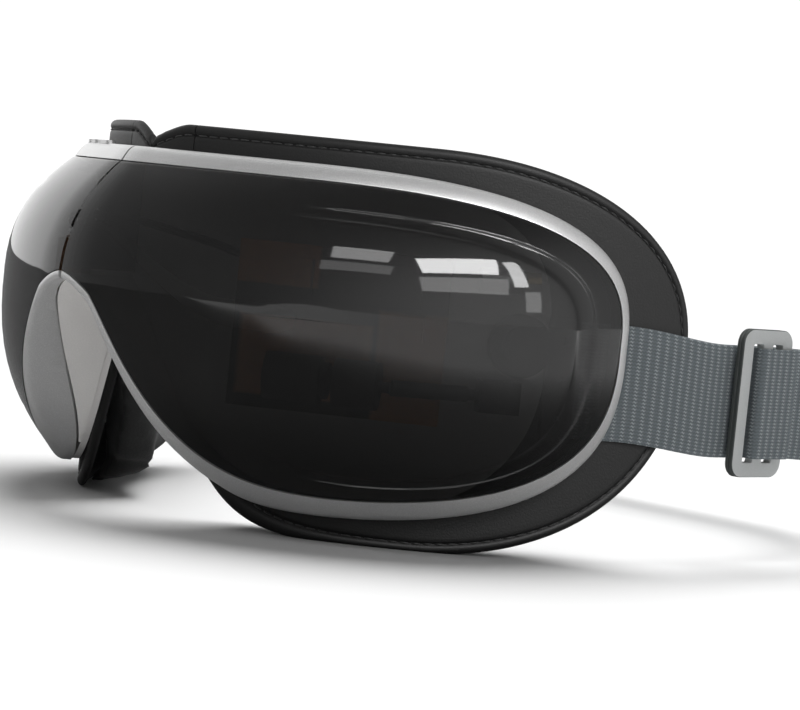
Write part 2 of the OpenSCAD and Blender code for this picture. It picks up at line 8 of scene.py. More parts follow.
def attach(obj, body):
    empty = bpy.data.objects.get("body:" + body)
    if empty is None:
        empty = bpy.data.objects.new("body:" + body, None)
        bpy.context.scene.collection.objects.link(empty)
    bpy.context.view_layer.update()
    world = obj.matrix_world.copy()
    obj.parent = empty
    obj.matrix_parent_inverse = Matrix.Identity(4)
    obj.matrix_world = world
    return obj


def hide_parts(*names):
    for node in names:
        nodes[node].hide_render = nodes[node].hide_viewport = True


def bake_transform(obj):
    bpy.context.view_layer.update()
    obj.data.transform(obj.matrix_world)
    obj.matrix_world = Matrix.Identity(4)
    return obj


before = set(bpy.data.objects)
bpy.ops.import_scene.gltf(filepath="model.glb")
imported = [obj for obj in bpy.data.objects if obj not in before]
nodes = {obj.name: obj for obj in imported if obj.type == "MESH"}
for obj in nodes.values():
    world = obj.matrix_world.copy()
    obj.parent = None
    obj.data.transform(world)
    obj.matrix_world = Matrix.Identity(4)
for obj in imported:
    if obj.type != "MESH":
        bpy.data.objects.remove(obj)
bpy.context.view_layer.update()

# Studio: a pale table top, a white room, one wide overhead silk for the matt surfaces and
# soft boxes high on the wearer's left, whose panes show only in the glossy ones.
MM = 0.001
scene = bpy.context.scene
scene.view_settings.view_transform = "Standard"


def direction(azimuth, elevation):
    """The way from the mask to something at this azimuth and elevation, in degrees."""
    a, e = math.radians(azimuth), math.radians(elevation)
    return Vector((math.sin(a) * math.cos(e), -math.cos(a) * math.cos(e), math.sin(e)))


camera = bpy.data.objects.new("camera", bpy.data.cameras.new("camera"))
scene.collection.objects.link(camera)
scene.camera = camera
camera.data.sensor_width = 36
camera.data.lens = 125.4
camera_side, camera_distance, camera_roll = direction(46.7, 3.35), 0.712, 5.8
looked_at = Vector((57.1, 48.2, 48.8)) * MM
camera.location = looked_at + camera_side * camera_distance
camera.rotation_mode = "QUATERNION"
camera.rotation_quaternion = (camera_side.to_track_quat("Z", "Y")
                              @ Quaternion((0, 0, 1), math.radians(camera_roll)))
camera.data.clip_end = 60

lens_spot = Vector((80, 30, 72)) * MM
box_distance = 1.2
# azimuth, elevation, width and height in degrees, brightness
soft_boxes = [(38, 43, 22, 10, 5), (38, 31, 24, 8, 1.6), (75, 37.5, 31, 13, 19),
              (76, 21.5, 32, 12, 3.2), (97, 30.5, 6, 20, 13), (101, 11, 6, 12, 3)]
for count, (azimuth, elevation, wide, high, bright) in enumerate(soft_boxes):
    light = bpy.data.lights.new("soft_box_%d" % count, "AREA")
    light.shape = "RECTANGLE"
    light.size = 2 * box_distance * math.tan(math.radians(wide / 2)) * math.cos(math.radians(elevation))
    light.size_y = 2 * box_distance * math.tan(math.radians(high / 2))
    light.energy = bright * math.pi * light.size * light.size_y
    lamp = bpy.data.objects.new(light.name, light)
    toward = direction(azimuth, elevation)
    lamp.location = lens_spot + toward * box_distance
    lamp.rotation_mode = "QUATERNION"
    lamp.rotation_quaternion = toward.to_track_quat("Z", "Y")
    lamp.visible_diffuse = False
    scene.collection.objects.link(lamp)
sky = bpy.data.lights.new("overhead_silk", "SUN")
sky.energy = 3.7
sky.angle = math.radians(50)
silk = bpy.data.objects.new("overhead_silk", sky)
silk.rotation_mode = "QUATERNION"
silk.rotation_quaternion = direction(208, 66).to_track_quat("Z", "Y")
silk.visible_glossy = False
scene.collection.objects.link(silk)

room = bpy.data.worlds.new("room")
scene.world = room
room.use_nodes = True
room_tree = room.node_tree
room_tree.nodes.clear()


def wire(tree, kind, settings=(), **inputs):
    """Adds a shader node, sets its properties and connects or sets its inputs."""
    made = tree.nodes.new(kind)
    for key, value in dict(settings).items():
        setattr(made, key, value)
    for key, value in inputs.items():
        numbered = key[0] == "i" and key[1:].isdigit()
        socket = made.inputs[int(key[1:]) if numbered else key.replace("_", " ")]
        if hasattr(value, "links"):
            tree.links.new(value, socket)
        else:
            socket.default_value = value
    return made


def maths(tree, operation, *values, clamp=False):
    """A Math node of one operation, as its output socket."""
    made = tree.nodes.new("ShaderNodeMath")
    made.operation = operation
    made.use_clamp = clamp
    for socket, value in zip(made.inputs, values):
        if hasattr(value, "links"):
            tree.links.new(value, socket)
        else:
            socket.default_value = value
    return made.outputs[0]


room_way = wire(room_tree, "ShaderNodeSeparateXYZ",
                Vector=room_tree.nodes.new("ShaderNodeTexCoord").outputs["Generated"])
sideways = maths(room_tree, "MULTIPLY", room_way.outputs[0], room_way.outputs[0])
wall = maths(room_tree, "MULTIPLY_ADD", sideways, 1.3, 0.30)
falling = maths(room_tree, "MULTIPLY_ADD", room_way.outputs[2], -1.6, 2.1)
overhead = maths(room_tree, "SMOOTH_MIN", falling, 1.0, 0.2)
mirrored_room = maths(room_tree, "MULTIPLY", wall, overhead)
rays = room_tree.nodes.new("ShaderNodeLightPath")
seen_room = wire(room_tree, "ShaderNodeMix", {"data_type": "FLOAT"}, i0=rays.outputs["Is Camera Ray"],
                 i2=0.32, i3=1.09)
room_light = wire(room_tree, "ShaderNodeMix", {"data_type": "FLOAT"}, i0=rays.outputs["Is Glossy Ray"],
                  i2=seen_room.outputs[0], i3=mirrored_room)
background = wire(room_tree, "ShaderNodeBackground", Strength=room_light.outputs[0])
background.inputs["Color"].default_value = (1, 1, 1, 1)
wire(room_tree, "ShaderNodeOutputWorld", Surface=background.outputs[0])

table_mesh = bpy.data.meshes.new("table_top")
table_edge = 30
table_corners = [(x * table_edge, y * table_edge, 0) for x, y in ((-1, -1), (1, -1), (1, 1), (-1, 1))]
table_mesh.from_pydata(table_corners, [], [(0, 1, 2, 3)])
table_top = bpy.data.objects.new("table_top", table_mesh)
scene.collection.objects.link(table_top)
table_paper = bpy.data.materials.new("table_paper")
table_paper.use_nodes = True
table_tree = table_paper.node_tree
table_tree.nodes.clear()
pale = wire(table_tree, "ShaderNodeBsdfDiffuse")
paper = 0.78
pale.inputs["Color"].default_value = (paper, paper, paper, 1)
table_way = wire(table_tree, "ShaderNodeSeparateXYZ",
                 Vector=table_tree.nodes.new("ShaderNodeTexCoord").outputs["Object"])
# Painted shade, for glossy rays only: in reflections the table top is dark (0.13) up to 0.12 m along x and
# brightens to full by 0.5 m, standing in for its unlit side.
lit_side = wire(table_tree, "ShaderNodeMapRange", {"interpolation_type": "SMOOTHSTEP"},
                i0=table_way.outputs[0], i1=0.12, i2=0.5, i3=0.13, i4=1.0)
painted_shade_table = wire(table_tree, "ShaderNodeBsdfDiffuse", i0=lit_side.outputs[0])
table_rays = table_tree.nodes.new("ShaderNodeLightPath")
table_mix = wire(table_tree, "ShaderNodeMixShader", i0=table_rays.outputs["Is Glossy Ray"],
                 i1=pale.outputs[0], i2=painted_shade_table.outputs[0])
wire(table_tree, "ShaderNodeOutputMaterial", Surface=table_mix.outputs[0])
table_mesh.materials.append(table_paper)

# Smoked lens: one injection-moulded, high-gloss sheet on each housing, 2 mm thick. A
# shallow channel with two crisp edges runs round its raised middle and fades out towards
# the nose. It is clipped into the bezel all round.
mid_z = 56.7
seam_gap = 0.3
bridge_r, bridge_turn, side_r = 20, math.radians(15.6), 138
bridge_len = bridge_r * bridge_turn
# an outline: length, top, bottom, straight part, roundness, and how far the arch is inset
lens_line = (135, 34.5, 45.2, 46.7, 2.8, 2)
arch_w, arch_power, arch_apex = 20.8, 1.62, 3


def ease(x):
    """0 to 1, leaving and arriving gently."""
    c = np.clip(x, 0, 1)
    return c * c * (3 - 2 * c)


def heading(s):
    """The plan curve's angle to the X axis at a distance along it from the fold."""
    s = np.asarray(s, float)
    return np.where(s < bridge_len, s / bridge_r, bridge_turn + (s - bridge_len) / side_r)


def spot(s, w, z):
    """A point in millimetres: s along the curve, w in front of it, z over the middle line."""
    a = heading(s)
    b = np.minimum(a, bridge_turn)
    m = np.maximum(a, b)
    x = bridge_r * np.sin(b) + side_r * (np.sin(m) - np.sin(b)) + w * np.sin(a)
    y = bridge_r * (1 - np.cos(b)) + side_r * (np.cos(b) - np.cos(m)) - w * np.cos(a)
    return np.stack(np.broadcast_arrays(x, y, z + mid_z), -1)


def arch(line, s):
    """Share of the nose arch's lift at a distance along the curve."""
    return np.exp(-(np.abs(s) / (arch_w + line[5])) ** arch_power)


def end_share(line, s):
    q = np.clip((s - line[3]) / (line[0] - line[3]), 0, 1)
    return (1 - q ** line[4]) ** (1 / line[4])


def top_z(line, s):
    return line[1] * end_share(line, s)


def low_z(line, s):
    lift = (line[2] + arch_apex + line[5]) * arch(line, s)
    return np.maximum(-mid_z, -line[2] * end_share(line, s) + lift)


def field(line, s, z):
    """0 in the middle of an outline and 1 on it, without its arch."""
    q = np.maximum(0, s - line[3]) / (line[0] - line[3])
    m = np.where(z > 0, z / line[1], -z / line[2])
    return (q ** line[4] + m ** line[4]) ** (1 / line[4])


def crown(s, z):
    """The lens's height in front of the plan curve."""
    return 2.7 + 16.25 * (1 - np.minimum(1, field(lens_line, s, z)) ** 2.54)


def inset(line, by):
    return (line[0] - by, line[1] - by, line[2] - by, line[3], line[4], line[5] + by)


def ring(line, share, start, straights, rounds):
    """One of the nested rings of an outline, as s and z, from the nose over the top,
    round the end and back below; share is 1 on the outline and 0 in its middle."""
    length, top, low, straight, power, lift = line
    a = np.linspace(math.pi / 2, -math.pi / 2, 721)
    flat = np.stack([(length - straight) * np.abs(np.cos(a)) ** (2 / power),
                     (top + low) / 2 * np.sign(np.sin(a)) * np.abs(np.sin(a)) ** (2 / power)])
    run = np.concatenate([[0], np.cumsum(np.hypot(*np.diff(flat)))])
    a = np.interp(np.linspace(0, run[-1], rounds), run, a)
    s0 = start + (straight - start) * np.linspace(0, 1, straights, endpoint=False)
    mid = 18 * (1 - ease(s0 / 40))
    s1 = straight + share * (length - straight) * np.abs(np.cos(a)) ** (2 / power)
    up = np.sign(np.sin(a)) * np.abs(np.sin(a)) ** (2 / power)
    z1 = share * np.where(up > 0, top * up, low * up + (low + arch_apex + lift) * arch(line, s1) * (up < 0))
    z0 = mid + share * (top - mid)
    z2 = mid + share * (-low + (low + arch_apex + lift) * arch(line, s0) - mid)
    z = np.concatenate([z0, z1, z2[::-1]])
    return np.concatenate([s0, s1, s0[::-1]]), np.maximum(z, -mid_z * share)


def mesh_of(name, grid, sign=1, ring_closed=False, capped=False, smooth_angle=40, weld=False):
    """A mesh from rows of points in millimetres. Rings can close on themselves and be
    capped with a strip at both ends; sign -1 mirrors it to the wearer's right. Nested
    rings are welded in their middle, and the two edges along the fold are closed."""
    grid = np.asarray(grid, float) * (sign, 1, 1)
    rows, cols = grid.shape[:2]
    index = np.arange(rows * cols).reshape(rows, cols)
    if ring_closed:
        index = np.concatenate([index, index[:, :1]], 1)
    a, b, c, d = index[:-1, :-1], index[1:, :-1], index[1:, 1:], index[:-1, 1:]
    quads = np.stack([a, b, c, d], -1).reshape(-1, 4).tolist()
    if capped:
        for row in (0, rows - 1):
            for k in range(cols // 2 - 1):
                first = row * cols
                quads.append([first + k, first + k + 1, first + cols - 2 - k, first + cols - 1 - k])
    if weld and not ring_closed:
        half = rows // 2
        for col in (0, cols - 1):
            for k in range(min(half, rows - half) - 1):
                quads.append([k * cols + col, (k + 1) * cols + col, (rows - 2 - k) * cols + col,
                              (rows - 1 - k) * cols + col])
    mesh = bpy.data.meshes.new(name)
    mesh.from_pydata((grid.reshape(-1, 3) * MM).tolist(), [], quads)
    work = bmesh.new()
    work.from_mesh(mesh)
    if weld:
        bmesh.ops.remove_doubles(work, verts=work.verts, dist=0.00001)
    bmesh.ops.recalc_face_normals(work, faces=work.faces)
    work.to_mesh(mesh)
    work.free()
    mesh.shade_smooth()
    mesh.set_sharp_from_angle(angle=math.radians(smooth_angle))
    return mesh


def piece(name, mesh, finish, body, slot, *stands_for):
    """Puts a mesh in the scene with its finish, on its body, in place of CAD nodes."""
    made = bpy.data.objects.new(name, mesh)
    scene.collection.objects.link(made)
    if finish is not None and not mesh.materials:
        mesh.materials.append(finish)
    if body:
        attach(made, body)
    if stands_for:
        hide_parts(*stands_for)
    return made


def new_group(name, inputs, outputs):
    """An empty shader node group with named sockets, and its two end nodes."""
    tree = bpy.data.node_groups.new(name, "ShaderNodeTree")
    kinds = {"c": "NodeSocketColor", "f": "NodeSocketFloat"}
    for socket, (kind, value) in inputs.items():
        made = tree.interface.new_socket(name=socket, in_out="INPUT", socket_type=kinds[kind])
        made.default_value = value
    for socket, kind in outputs.items():
        tree.interface.new_socket(name=socket, in_out="OUTPUT", socket_type=kinds[kind])
    return tree, tree.nodes.new("NodeGroupInput").outputs, tree.nodes.new("NodeGroupOutput").inputs


def mixed(tree, share, first, second):
    """Two colours mixed by a share, as an output socket."""
    return wire(tree, "ShaderNodeMix", {"data_type": "RGBA"}, i0=share, i6=first, i7=second).outputs[2]


def grain_group():
    """Moulded, painted or cast surface: fine flecks, slow cloudiness and handling marks."""
    tree, given, out = new_group(
        "surface_grain",
        {"Colour": ("c", (0.5, 0.5, 0.5, 1)), "Fleck": ("c", (0.6, 0.6, 0.6, 1)), "Fine": ("f", 2500.0),
         "Smooth": ("f", 0.3), "Rough": ("f", 0.45)},
        {"Colour": "c", "Roughness": "f", "Height": "f"})
    place = tree.nodes.new("ShaderNodeTexCoord").outputs["Object"]
    fine = wire(tree, "ShaderNodeTexNoise", Vector=place, Scale=given["Fine"], Detail=2.0)
    slow = wire(tree, "ShaderNodeTexNoise", Vector=place, Scale=38.0, Detail=4.0)
    above = maths(tree, "SUBTRACT", fine.outputs[0], 0.42, clamp=True)
    fleck = maths(tree, "MULTIPLY", above, 2.2, clamp=True)
    tint = mixed(tree, fleck, given["Colour"], given["Fleck"])
    cloud = maths(tree, "MULTIPLY_ADD", slow.outputs[0], 0.16, 0.92)
    shade = wire(tree, "ShaderNodeVectorMath", {"operation": "SCALE"}, i0=tint, i3=cloud)
    span = maths(tree, "SUBTRACT", given["Rough"], given["Smooth"])
    mark = maths(tree, "MULTIPLY_ADD", fine.outputs[0], 0.3, maths(tree, "MULTIPLY", slow.outputs[0], 0.7))
    tree.links.new(shade.outputs[0], out["Colour"])
    tree.links.new(maths(tree, "MULTIPLY_ADD", mark, span, given["Smooth"]), out["Roughness"])
    tree.links.new(fine.outputs[0], out["Height"])
    return tree


surface_grain = grain_group()


def new_finish(name, rough=0.4, metal=0.0, **sockets):
    """A material with one Principled shader, its steady values set on the shader's sockets."""
    made = bpy.data.materials.new(name)
    made.use_nodes = True
    shader = made.node_tree.nodes["Principled BSDF"]
    shader.inputs["Roughness"].default_value = rough
    shader.inputs["Metallic"].default_value = metal
    for key, value in sockets.items():
        shader.inputs[key.replace("_", " ")].default_value = value
    return made


def dress(made, group, bump=0.15, depth=0.0001, **sockets):
    """Places a shared effect in a material with this material's own values."""
    tree = made.node_tree
    shader = tree.nodes["Principled BSDF"]
    effect = tree.nodes.new("ShaderNodeGroup")
    effect.node_tree = group
    for key, value in sockets.items():
        effect.inputs[key].default_value = value
    tree.links.new(effect.outputs["Colour"], shader.inputs["Base Color"])
    tree.links.new(effect.outputs["Roughness"], shader.inputs["Roughness"])
    relief = wire(tree, "ShaderNodeBump", Strength=bump, Distance=depth, Height=effect.outputs["Height"])
    tree.links.new(relief.outputs[0], shader.inputs["Normal"])
    return made


def moulded(name, colour, fleck, fine, smooth, rough, bump=0.15, depth=0.0001, **sockets):
    """A finish with the shared surface grain: its colour, its flecks' colour and their
    fineness, and how smooth it is at its smoothest and its roughest."""
    return dress(new_finish(name, **sockets), surface_grain, bump, depth, Colour=colour, Fleck=fleck,
                 Fine=fine, Smooth=smooth, Rough=rough)


def grey(level, warm=0.0):
    """A neutral colour, a little warmer or cooler."""
    return (level * (1 + warm), level, level * (1 - warm), 1)


lens_gloss = moulded("smoked_gloss", grey(0.004), grey(0.005), 600.0, 0.03, 0.05, 0.0, 0.0,
                     Alpha=0.88, IOR=1.5)
lens_back = moulded("smoked_back", grey(0.01), grey(0.012), 600.0, 0.3, 0.4, 0.0, 0.0,
                    Alpha=0.12, IOR=1.05)
plateau_line = (120.3, 24.9, 39.5, 46.7, 3.0, 9)
channel_line = (126.3, 28, 41.3, 46.7, 3.2, 6)
lens_edge_line = inset(lens_line, 0.2)


def between(a, b, k):
    return tuple(np.array(a) * (1 - k) + np.array(b) * k)


lens_rings = [(plateau_line, k, 0.32) for k in (0, 0.12, 0.25, 0.4, 0.55, 0.68, 0.8, 0.9, 0.96, 0.985)]
# how far across the channel, height over the lens
channel_section = [(0, 0.27), (0.05, 0.1), (0.12, -0.2), (0.22, -0.45), (0.35, -0.56), (0.5, -0.58),
                   (0.65, -0.56), (0.78, -0.5), (0.86, -0.36), (0.93, -0.12), (1, 0.03)]
lens_rings += [(between(plateau_line, channel_line, k), 1, h) for k, h in channel_section]
lens_rings += [(between(channel_line, lens_edge_line, k), 1, 0.0) for k in
               (0.08, 0.2, 0.35, 0.5, 0.65, 0.8, 0.9, 0.96, 1)]
lens_thick, lens_straights, lens_rounds = 2, 60, 150
lens_outside = []
for line, share, lift in lens_rings:
    s, z = ring(line, share, seam_gap, lens_straights, lens_rounds)
    rounding = 0.35 * (line == tuple(lens_edge_line))
    lens_outside.append(spot(s, crown(s, z) + lift * ease((s - 34) / 42) - rounding, z))
lens_inside = []
for line, share, lift in lens_rings[::-2]:
    s, z = ring(line, share, seam_gap, lens_straights, lens_rounds)
    lens_inside.append(spot(s, crown(s, z) - lens_thick, z))
sides = (("left", 1), ("right", -1))
for side, sign in sides:
    lens_mesh = mesh_of("lens_" + side + "_gloss", lens_outside + lens_inside, sign, weld=True)
    lens_mesh.materials.append(lens_gloss)
    lens_mesh.materials.append(lens_back)
    inner_from = (len(lens_outside) - 1) * (2 * lens_straights + lens_rounds - 1)
    for face in lens_mesh.polygons[inner_from:]:
        face.material_index = 1
    piece("lens_sheet_" + side, lens_mesh, None, side + "_half", "smoked_lens", "lens_" + side)

# Bezel: the visible frame of each housing, moulded and sprayed satin silver with a fine
# flake. Its rounded face runs from the outer edge up to the lens; over the nose it narrows
# to a rolled rim.
outer_line = (138.7, 38.5, 50, 46.7, 2.8, 0)
bezel_depth = 4
silver = moulded("satin_silver_paint", grey(0.56), grey(0.72), 3800.0, 0.3, 0.42, 0.12, 0.00006, metal=0.5,
                 Coat_Weight=0.25, Coat_Roughness=0.3)


def stations(line, start, count):
    return start + (line[0] * 0.9995 - start) * (1 - np.cos(np.linspace(0, math.pi, count))) / 2


def bezel_back(s, z, over):
    return -bezel_depth * (1 - over) + (crown(s, z) - 3) * over


def bezel_rings(count=190):
    so, si = stations(outer_line, seam_gap, count), stations(lens_line, seam_gap, count)
    paths = [(so, top_z(outer_line, so), si, top_z(lens_line, si), 0 * so),
             (so[::-1], low_z(outer_line, so[::-1]), si[::-1], low_z(lens_line, si[::-1]),
              arch(outer_line, so[::-1]))]
    rings = []
    for s_out, z_out, s_in, z_in, over in paths:
        back_in = spot(s_in, bezel_back(s_in, z_in, over), z_in)
        back_out = spot(s_out, bezel_back(s_out, z_out, over), z_out)
        face_w = crown(s_out, z_out) - 2.7 * (1 - ease(over * 3))
        face_out = spot(s_out, face_w, z_out)
        face_in = spot(s_in, crown(s_in, z_in), z_in)
        side_end = back_out + (face_out - back_out) * 0.5
        face_end = face_out + (face_in - face_out) * 0.55
        points = [back_in, (back_in + back_out) / 2, back_out + (face_out - back_out) * 0.04, side_end]
        for t in np.linspace(0, 1, 9)[1:-1]:
            points.append((1 - t) ** 2 * side_end + 2 * t * (1 - t) * face_out + t * t * face_end)
        inner_lip = face_in + (back_in - face_in) * 0.12
        points += [face_end, face_end * 0.15 + face_in * 0.85, face_in * 0.9 + inner_lip * 0.1, inner_lip,
                   (inner_lip + back_in) / 2]
        rings.append(np.stack(points, 1))
    return np.concatenate(rings)


def pair(name, node, mesh_name, grid, finish, slot, *how, **more):
    """The same piece on both halves, mirrored; returns the two."""
    made = []
    for side, sign in sides:
        mesh = mesh_of(mesh_name % side, grid, sign, *how, **more)
        made.append(piece(name + side, mesh, finish, side + "_half", slot, node + side))
    return made


bezel_grid = bezel_rings()
if len(bezel_grid[0]) % 2:
    bezel_grid = np.concatenate([bezel_grid, bezel_grid[:, -1:] * 0.5 + bezel_grid[:, :1] * 0.5], 1)
pair("bezel_frame_", "bezel_", "bezel_%s_frame", bezel_grid, silver, "silver_bezel", True, True, 50,
     weld=True)

# Nose liner: the smooth wall of the nose arch behind the rim, moulded in the same warm
# grey as the back shell and left satin. It fills the depth between the bezel and the shell.
shell_back = -4.2
liner_line = (137.1, 36.9, 48.4, 46.7, 2.8, 1.6)
warm_grey = moulded("satin_warm_grey", grey(0.66, 0.02), grey(0.72, 0.02), 3000.0, 0.32, 0.42, 0.08, 0.00005,
                    metal=0.15)
liner_s = np.linspace(seam_gap, 31, 70)
liner_out = low_z(outer_line, liner_s)
liner_in = low_z(liner_line, liner_s)
liner_over = arch(outer_line, liner_s)
liner_wall, overlap, lap = [], 0.3, 0.2
for shares, face in ((np.linspace(0, 1, 9), liner_out), (np.linspace(1, 0, 9), liner_in)):
    for k in shares:
        deep = (shell_back + lap) * (1 - k) + (bezel_back(liner_s, face, liner_over) - overlap) * k
        liner_wall.append(spot(liner_s, deep, face))
pair("liner_wall_", "nose_liner_", "liner_%s_wall", np.stack(liner_wall, 1), warm_grey, "grey_shell",
     True, True, 50)

# Back shell: the closing wall of each housing, 1.8 mm warm grey moulding behind the
# electronics, screwed to the bezel.


def nested(rings, start, straights, rounds):
    """Rows of points from rings given as outline, share and depth."""
    rows = []
    for line, share, depth in rings:
        s, z = ring(line, share, start, straights, rounds)
        rows.append(spot(s, depth, z))
    return rows


back_line = (118, 38.1, 49.6, 44, 2.8, 0.4)
shell_shares, shell_wall = (0, 0.3, 0.6, 0.85, 0.97, 1), 1.8
shell_rings = [(back_line, k, shell_back) for k in shell_shares]
shell_rings += [(back_line, k, shell_back - shell_wall) for k in shell_shares[::-1]]
pair("back_wall_", "back_shell_", "back_%s_wall", nested(shell_rings, seam_gap, 24, 60), warm_grey,
     "grey_shell", weld=True)

# Cushion panel: a stiff board wrapped in black leather-like sheet. The cover of the face
# cushion is rolled over its edge and stitched through, which leaves a seam groove and a
# rolled rim all round.
panel_line = (162.2, 45.3, 57.5, 83.7, 2.14, 1.5)
panel_start = 16


def leather_group():
    """Coated sheet pressed with a pebbled grain, paler where it is rubbed."""
    tree, given, out = new_group(
        "leather_grain",
        {"Colour": ("c", (0.02, 0.02, 0.02, 1)), "Rubbed": ("c", (0.04, 0.04, 0.04, 1)),
         "Pebbles": ("f", 900.0), "Smooth": ("f", 0.38), "Rough": ("f", 0.6)},
        {"Colour": "c", "Roughness": "f", "Height": "f"})
    place = tree.nodes.new("ShaderNodeTexCoord").outputs["Object"]
    sway = wire(tree, "ShaderNodeTexNoise", Vector=place, Scale=160.0, Detail=3.0)
    bent = wire(tree, "ShaderNodeVectorMath", {"operation": "MULTIPLY_ADD"}, i0=sway.outputs[1], i2=place)
    bent.inputs[1].default_value = (0.0012, 0.0012, 0.0012)
    cells = wire(tree, "ShaderNodeTexVoronoi", {"feature": "DISTANCE_TO_EDGE"}, Vector=bent.outputs[0],
                 Scale=given["Pebbles"])
    pebble = maths(tree, "POWER", maths(tree, "MULTIPLY", cells.outputs[0], 2.2, clamp=True), 0.45)
    slow = wire(tree, "ShaderNodeTexNoise", Vector=place, Scale=26.0, Detail=3.0)
    rub = maths(tree, "MULTIPLY", maths(tree, "SUBTRACT", slow.outputs[0], 0.4, clamp=True), 2.4, clamp=True)
    tint = mixed(tree, maths(tree, "MULTIPLY", rub, pebble), given["Colour"], given["Rubbed"])
    span = maths(tree, "SUBTRACT", given["Rough"], given["Smooth"])
    dull = maths(tree, "MULTIPLY_ADD", pebble, -0.5, maths(tree, "MULTIPLY_ADD", slow.outputs[0], 0.5, 0.6))
    tree.links.new(tint, out["Colour"])
    tree.links.new(maths(tree, "MULTIPLY_ADD", dull, span, given["Smooth"]), out["Roughness"])
    tree.links.new(pebble, out["Height"])
    return tree


leather_grain = leather_group()
coated = new_finish("black_coated_leather", Specular_IOR_Level=0.33, Sheen_Weight=0.02, Sheen_Roughness=0.5)
black_leather = dress(coated, leather_grain, 0.3, 0.0001, Colour=grey(0.009), Rubbed=grey(0.015),
                      Pebbles=1100.0, Smooth=0.42, Rough=0.6)
panel_face, panel_rear, panel_flat = -6.32, -8.8, 5.5
# inset from the outline, depth: over the front, down the seam groove, round the rim, back
rim_profile = [(5.5, -6.32), (4.2, -6.32), (3.5, -6.36), (3.1, -6.5), (2.85, -6.95), (2.7, -7.0),
               (2.55, -6.9), (2.25, -6.5), (1.8, -6.32), (1.2, -6.34), (0.65, -6.6), (0.25, -7.0),
               (0.0, -7.55), (0.1, -8.1), (0.45, -8.55), (1.1, -8.78), (2.4, -8.8), (5.5, -8.8)]
panel_shares = (0, 0.3, 0.6, 0.8, 0.92)
panel_rings = [(inset(panel_line, panel_flat), k, panel_face) for k in panel_shares]
panel_rings += [(inset(panel_line, by), 1, w) for by, w in rim_profile]
panel_rings += [(inset(panel_line, panel_flat), k, panel_rear) for k in panel_shares[::-1]]
panel_rows = nested(panel_rings, panel_start, 60, 130)
for panel in pair("panel_cover_", "cushion_panel_", "panel_%s_cover", panel_rows, black_leather,
                  "black_leather", smooth_angle=70, weld=True):
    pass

# Rim stitching: one row of black lockstitch thread, 3 mm to a stitch, sewn through both
# sheets at the bottom of the seam groove.
stitch_pitch, stitch_len, thread_r = 3.0, 2.2, 0.22
thread = moulded("black_thread", grey(0.012), grey(0.03), 5000.0, 0.55, 0.75, 0.4, 0.00005, Sheen_Weight=0.2)


def stitch_mesh(name, path, out, sign, pitch=stitch_pitch, length=stitch_len, radius=thread_r):
    """A row of arched stitches along a path; out is the way the thread stands up."""
    step = np.linalg.norm(np.diff(path, axis=0), axis=1)
    run = np.concatenate([[0], np.cumsum(step)])
    verts, faces = [], []
    for k in range(int(run[-1] // pitch)):
        base = len(verts)
        for t in np.linspace(0, 1, 5):
            d = k * pitch + length * t
            centre = np.array([np.interp(d, run, path[:, i]) for i in range(3)])
            ahead = np.array([np.interp(d + 0.2, run, path[:, i]) for i in range(3)]) - centre
            ahead /= np.linalg.norm(ahead) + 1e-9
            up = np.array([np.interp(d, run, out[:, i]) for i in range(3)])
            across = np.cross(ahead, up)
            arch_up = radius * (1.6 * math.sin(math.pi * t) - 0.6)
            thick = radius * (0.55 + 0.45 * math.sin(math.pi * t))
            for q in range(6):
                g = math.tau * q / 6
                verts.append(centre + up * arch_up + thick * (math.cos(g) * across + math.sin(g) * up))
        for j in range(4):
            for q in range(6):
                a, b = base + 6 * j + q, base + 6 * j + (q + 1) % 6
                faces.append((a, b, b + 6, a + 6))
        faces.append(tuple(base + q for q in range(6))[::-1])
        faces.append(tuple(base + 24 + q for q in range(6)))
    mesh = bpy.data.meshes.new(name)
    if sign < 0:
        faces = [face[::-1] for face in faces]
    mesh.from_pydata((np.array(verts) * (sign * MM, MM, MM)).tolist(), [], faces)
    mesh.shade_smooth()
    return mesh


seam_inset, seam_depth = 2.7, -6.78


def sew(name, mesh_name, side, sign, s, z):
    """The stitches of one half's seam, lying in the bottom of the groove."""
    path = spot(s, seam_depth, z)
    out = spot(s, seam_depth + 1, z) - path
    piece(name + side, stitch_mesh(mesh_name + side, path, out, sign), thread, side + "_half",
          "black_leather")


seam_s, seam_z = ring(inset(panel_line, seam_inset), 1, panel_start + 1, 60, 200)
for side, sign in sides:
    sew("rim_stitches_", "stitches_", side, sign, seam_s, seam_z)

# Face cushions: slow foam in a soft black leather-like bag behind each panel, with a
# recess for the eye. The bag is cut from two panels and blown tight by its filling.
pad_line = (159.2, 42.3, 57.5, 83.7, 2.14, 4)
pad_front, pocket, pad_t, pad_start = -9.1, 5.0, 11, 17
eye_s, eye_z, eye_rx, eye_rz, eye_t = 50, -2, 27, 21, 2.9


def eye_reach(s, z):
    return np.hypot((s - eye_s) / eye_rx, (z - eye_z) / eye_rz)


def pad_back(s, z):
    cover = ease((1 - field(pad_line, s, z)) / 0.16) * ease((s + 8 - pad_start) / 30)
    return pad_front - 1.2 - cover * (pocket + eye_t + (pad_t - eye_t) * ease(eye_reach(s, z) - 0.55))


def pad_grid(count, rows, shrink=0.0):
    grid = []
    spread = (1 - np.cos(np.linspace(0, math.pi, count))) / 2
    s_all = pad_start + shrink + (pad_line[0] * 0.999 - shrink - pad_start) * spread
    for s in s_all:
        lo = float(low_z(pad_line, s)) + shrink
        hi = max(float(top_z(pad_line, s)) - shrink, lo + 0.4)
        z = np.linspace(lo, hi, rows)
        back = spot(np.full(rows, s), pad_back(np.full(rows, s), z) + shrink * 0.7, z)
        hollow = pocket * ease((0.97 - field(pad_line, s, z)) / 0.1) * ease((s - pad_start) / 10)
        front = spot(np.full(rows, s), pad_front - hollow - 0.15, z)[::-1]
        grid.append(np.concatenate([back, front]))
    return np.array(grid)


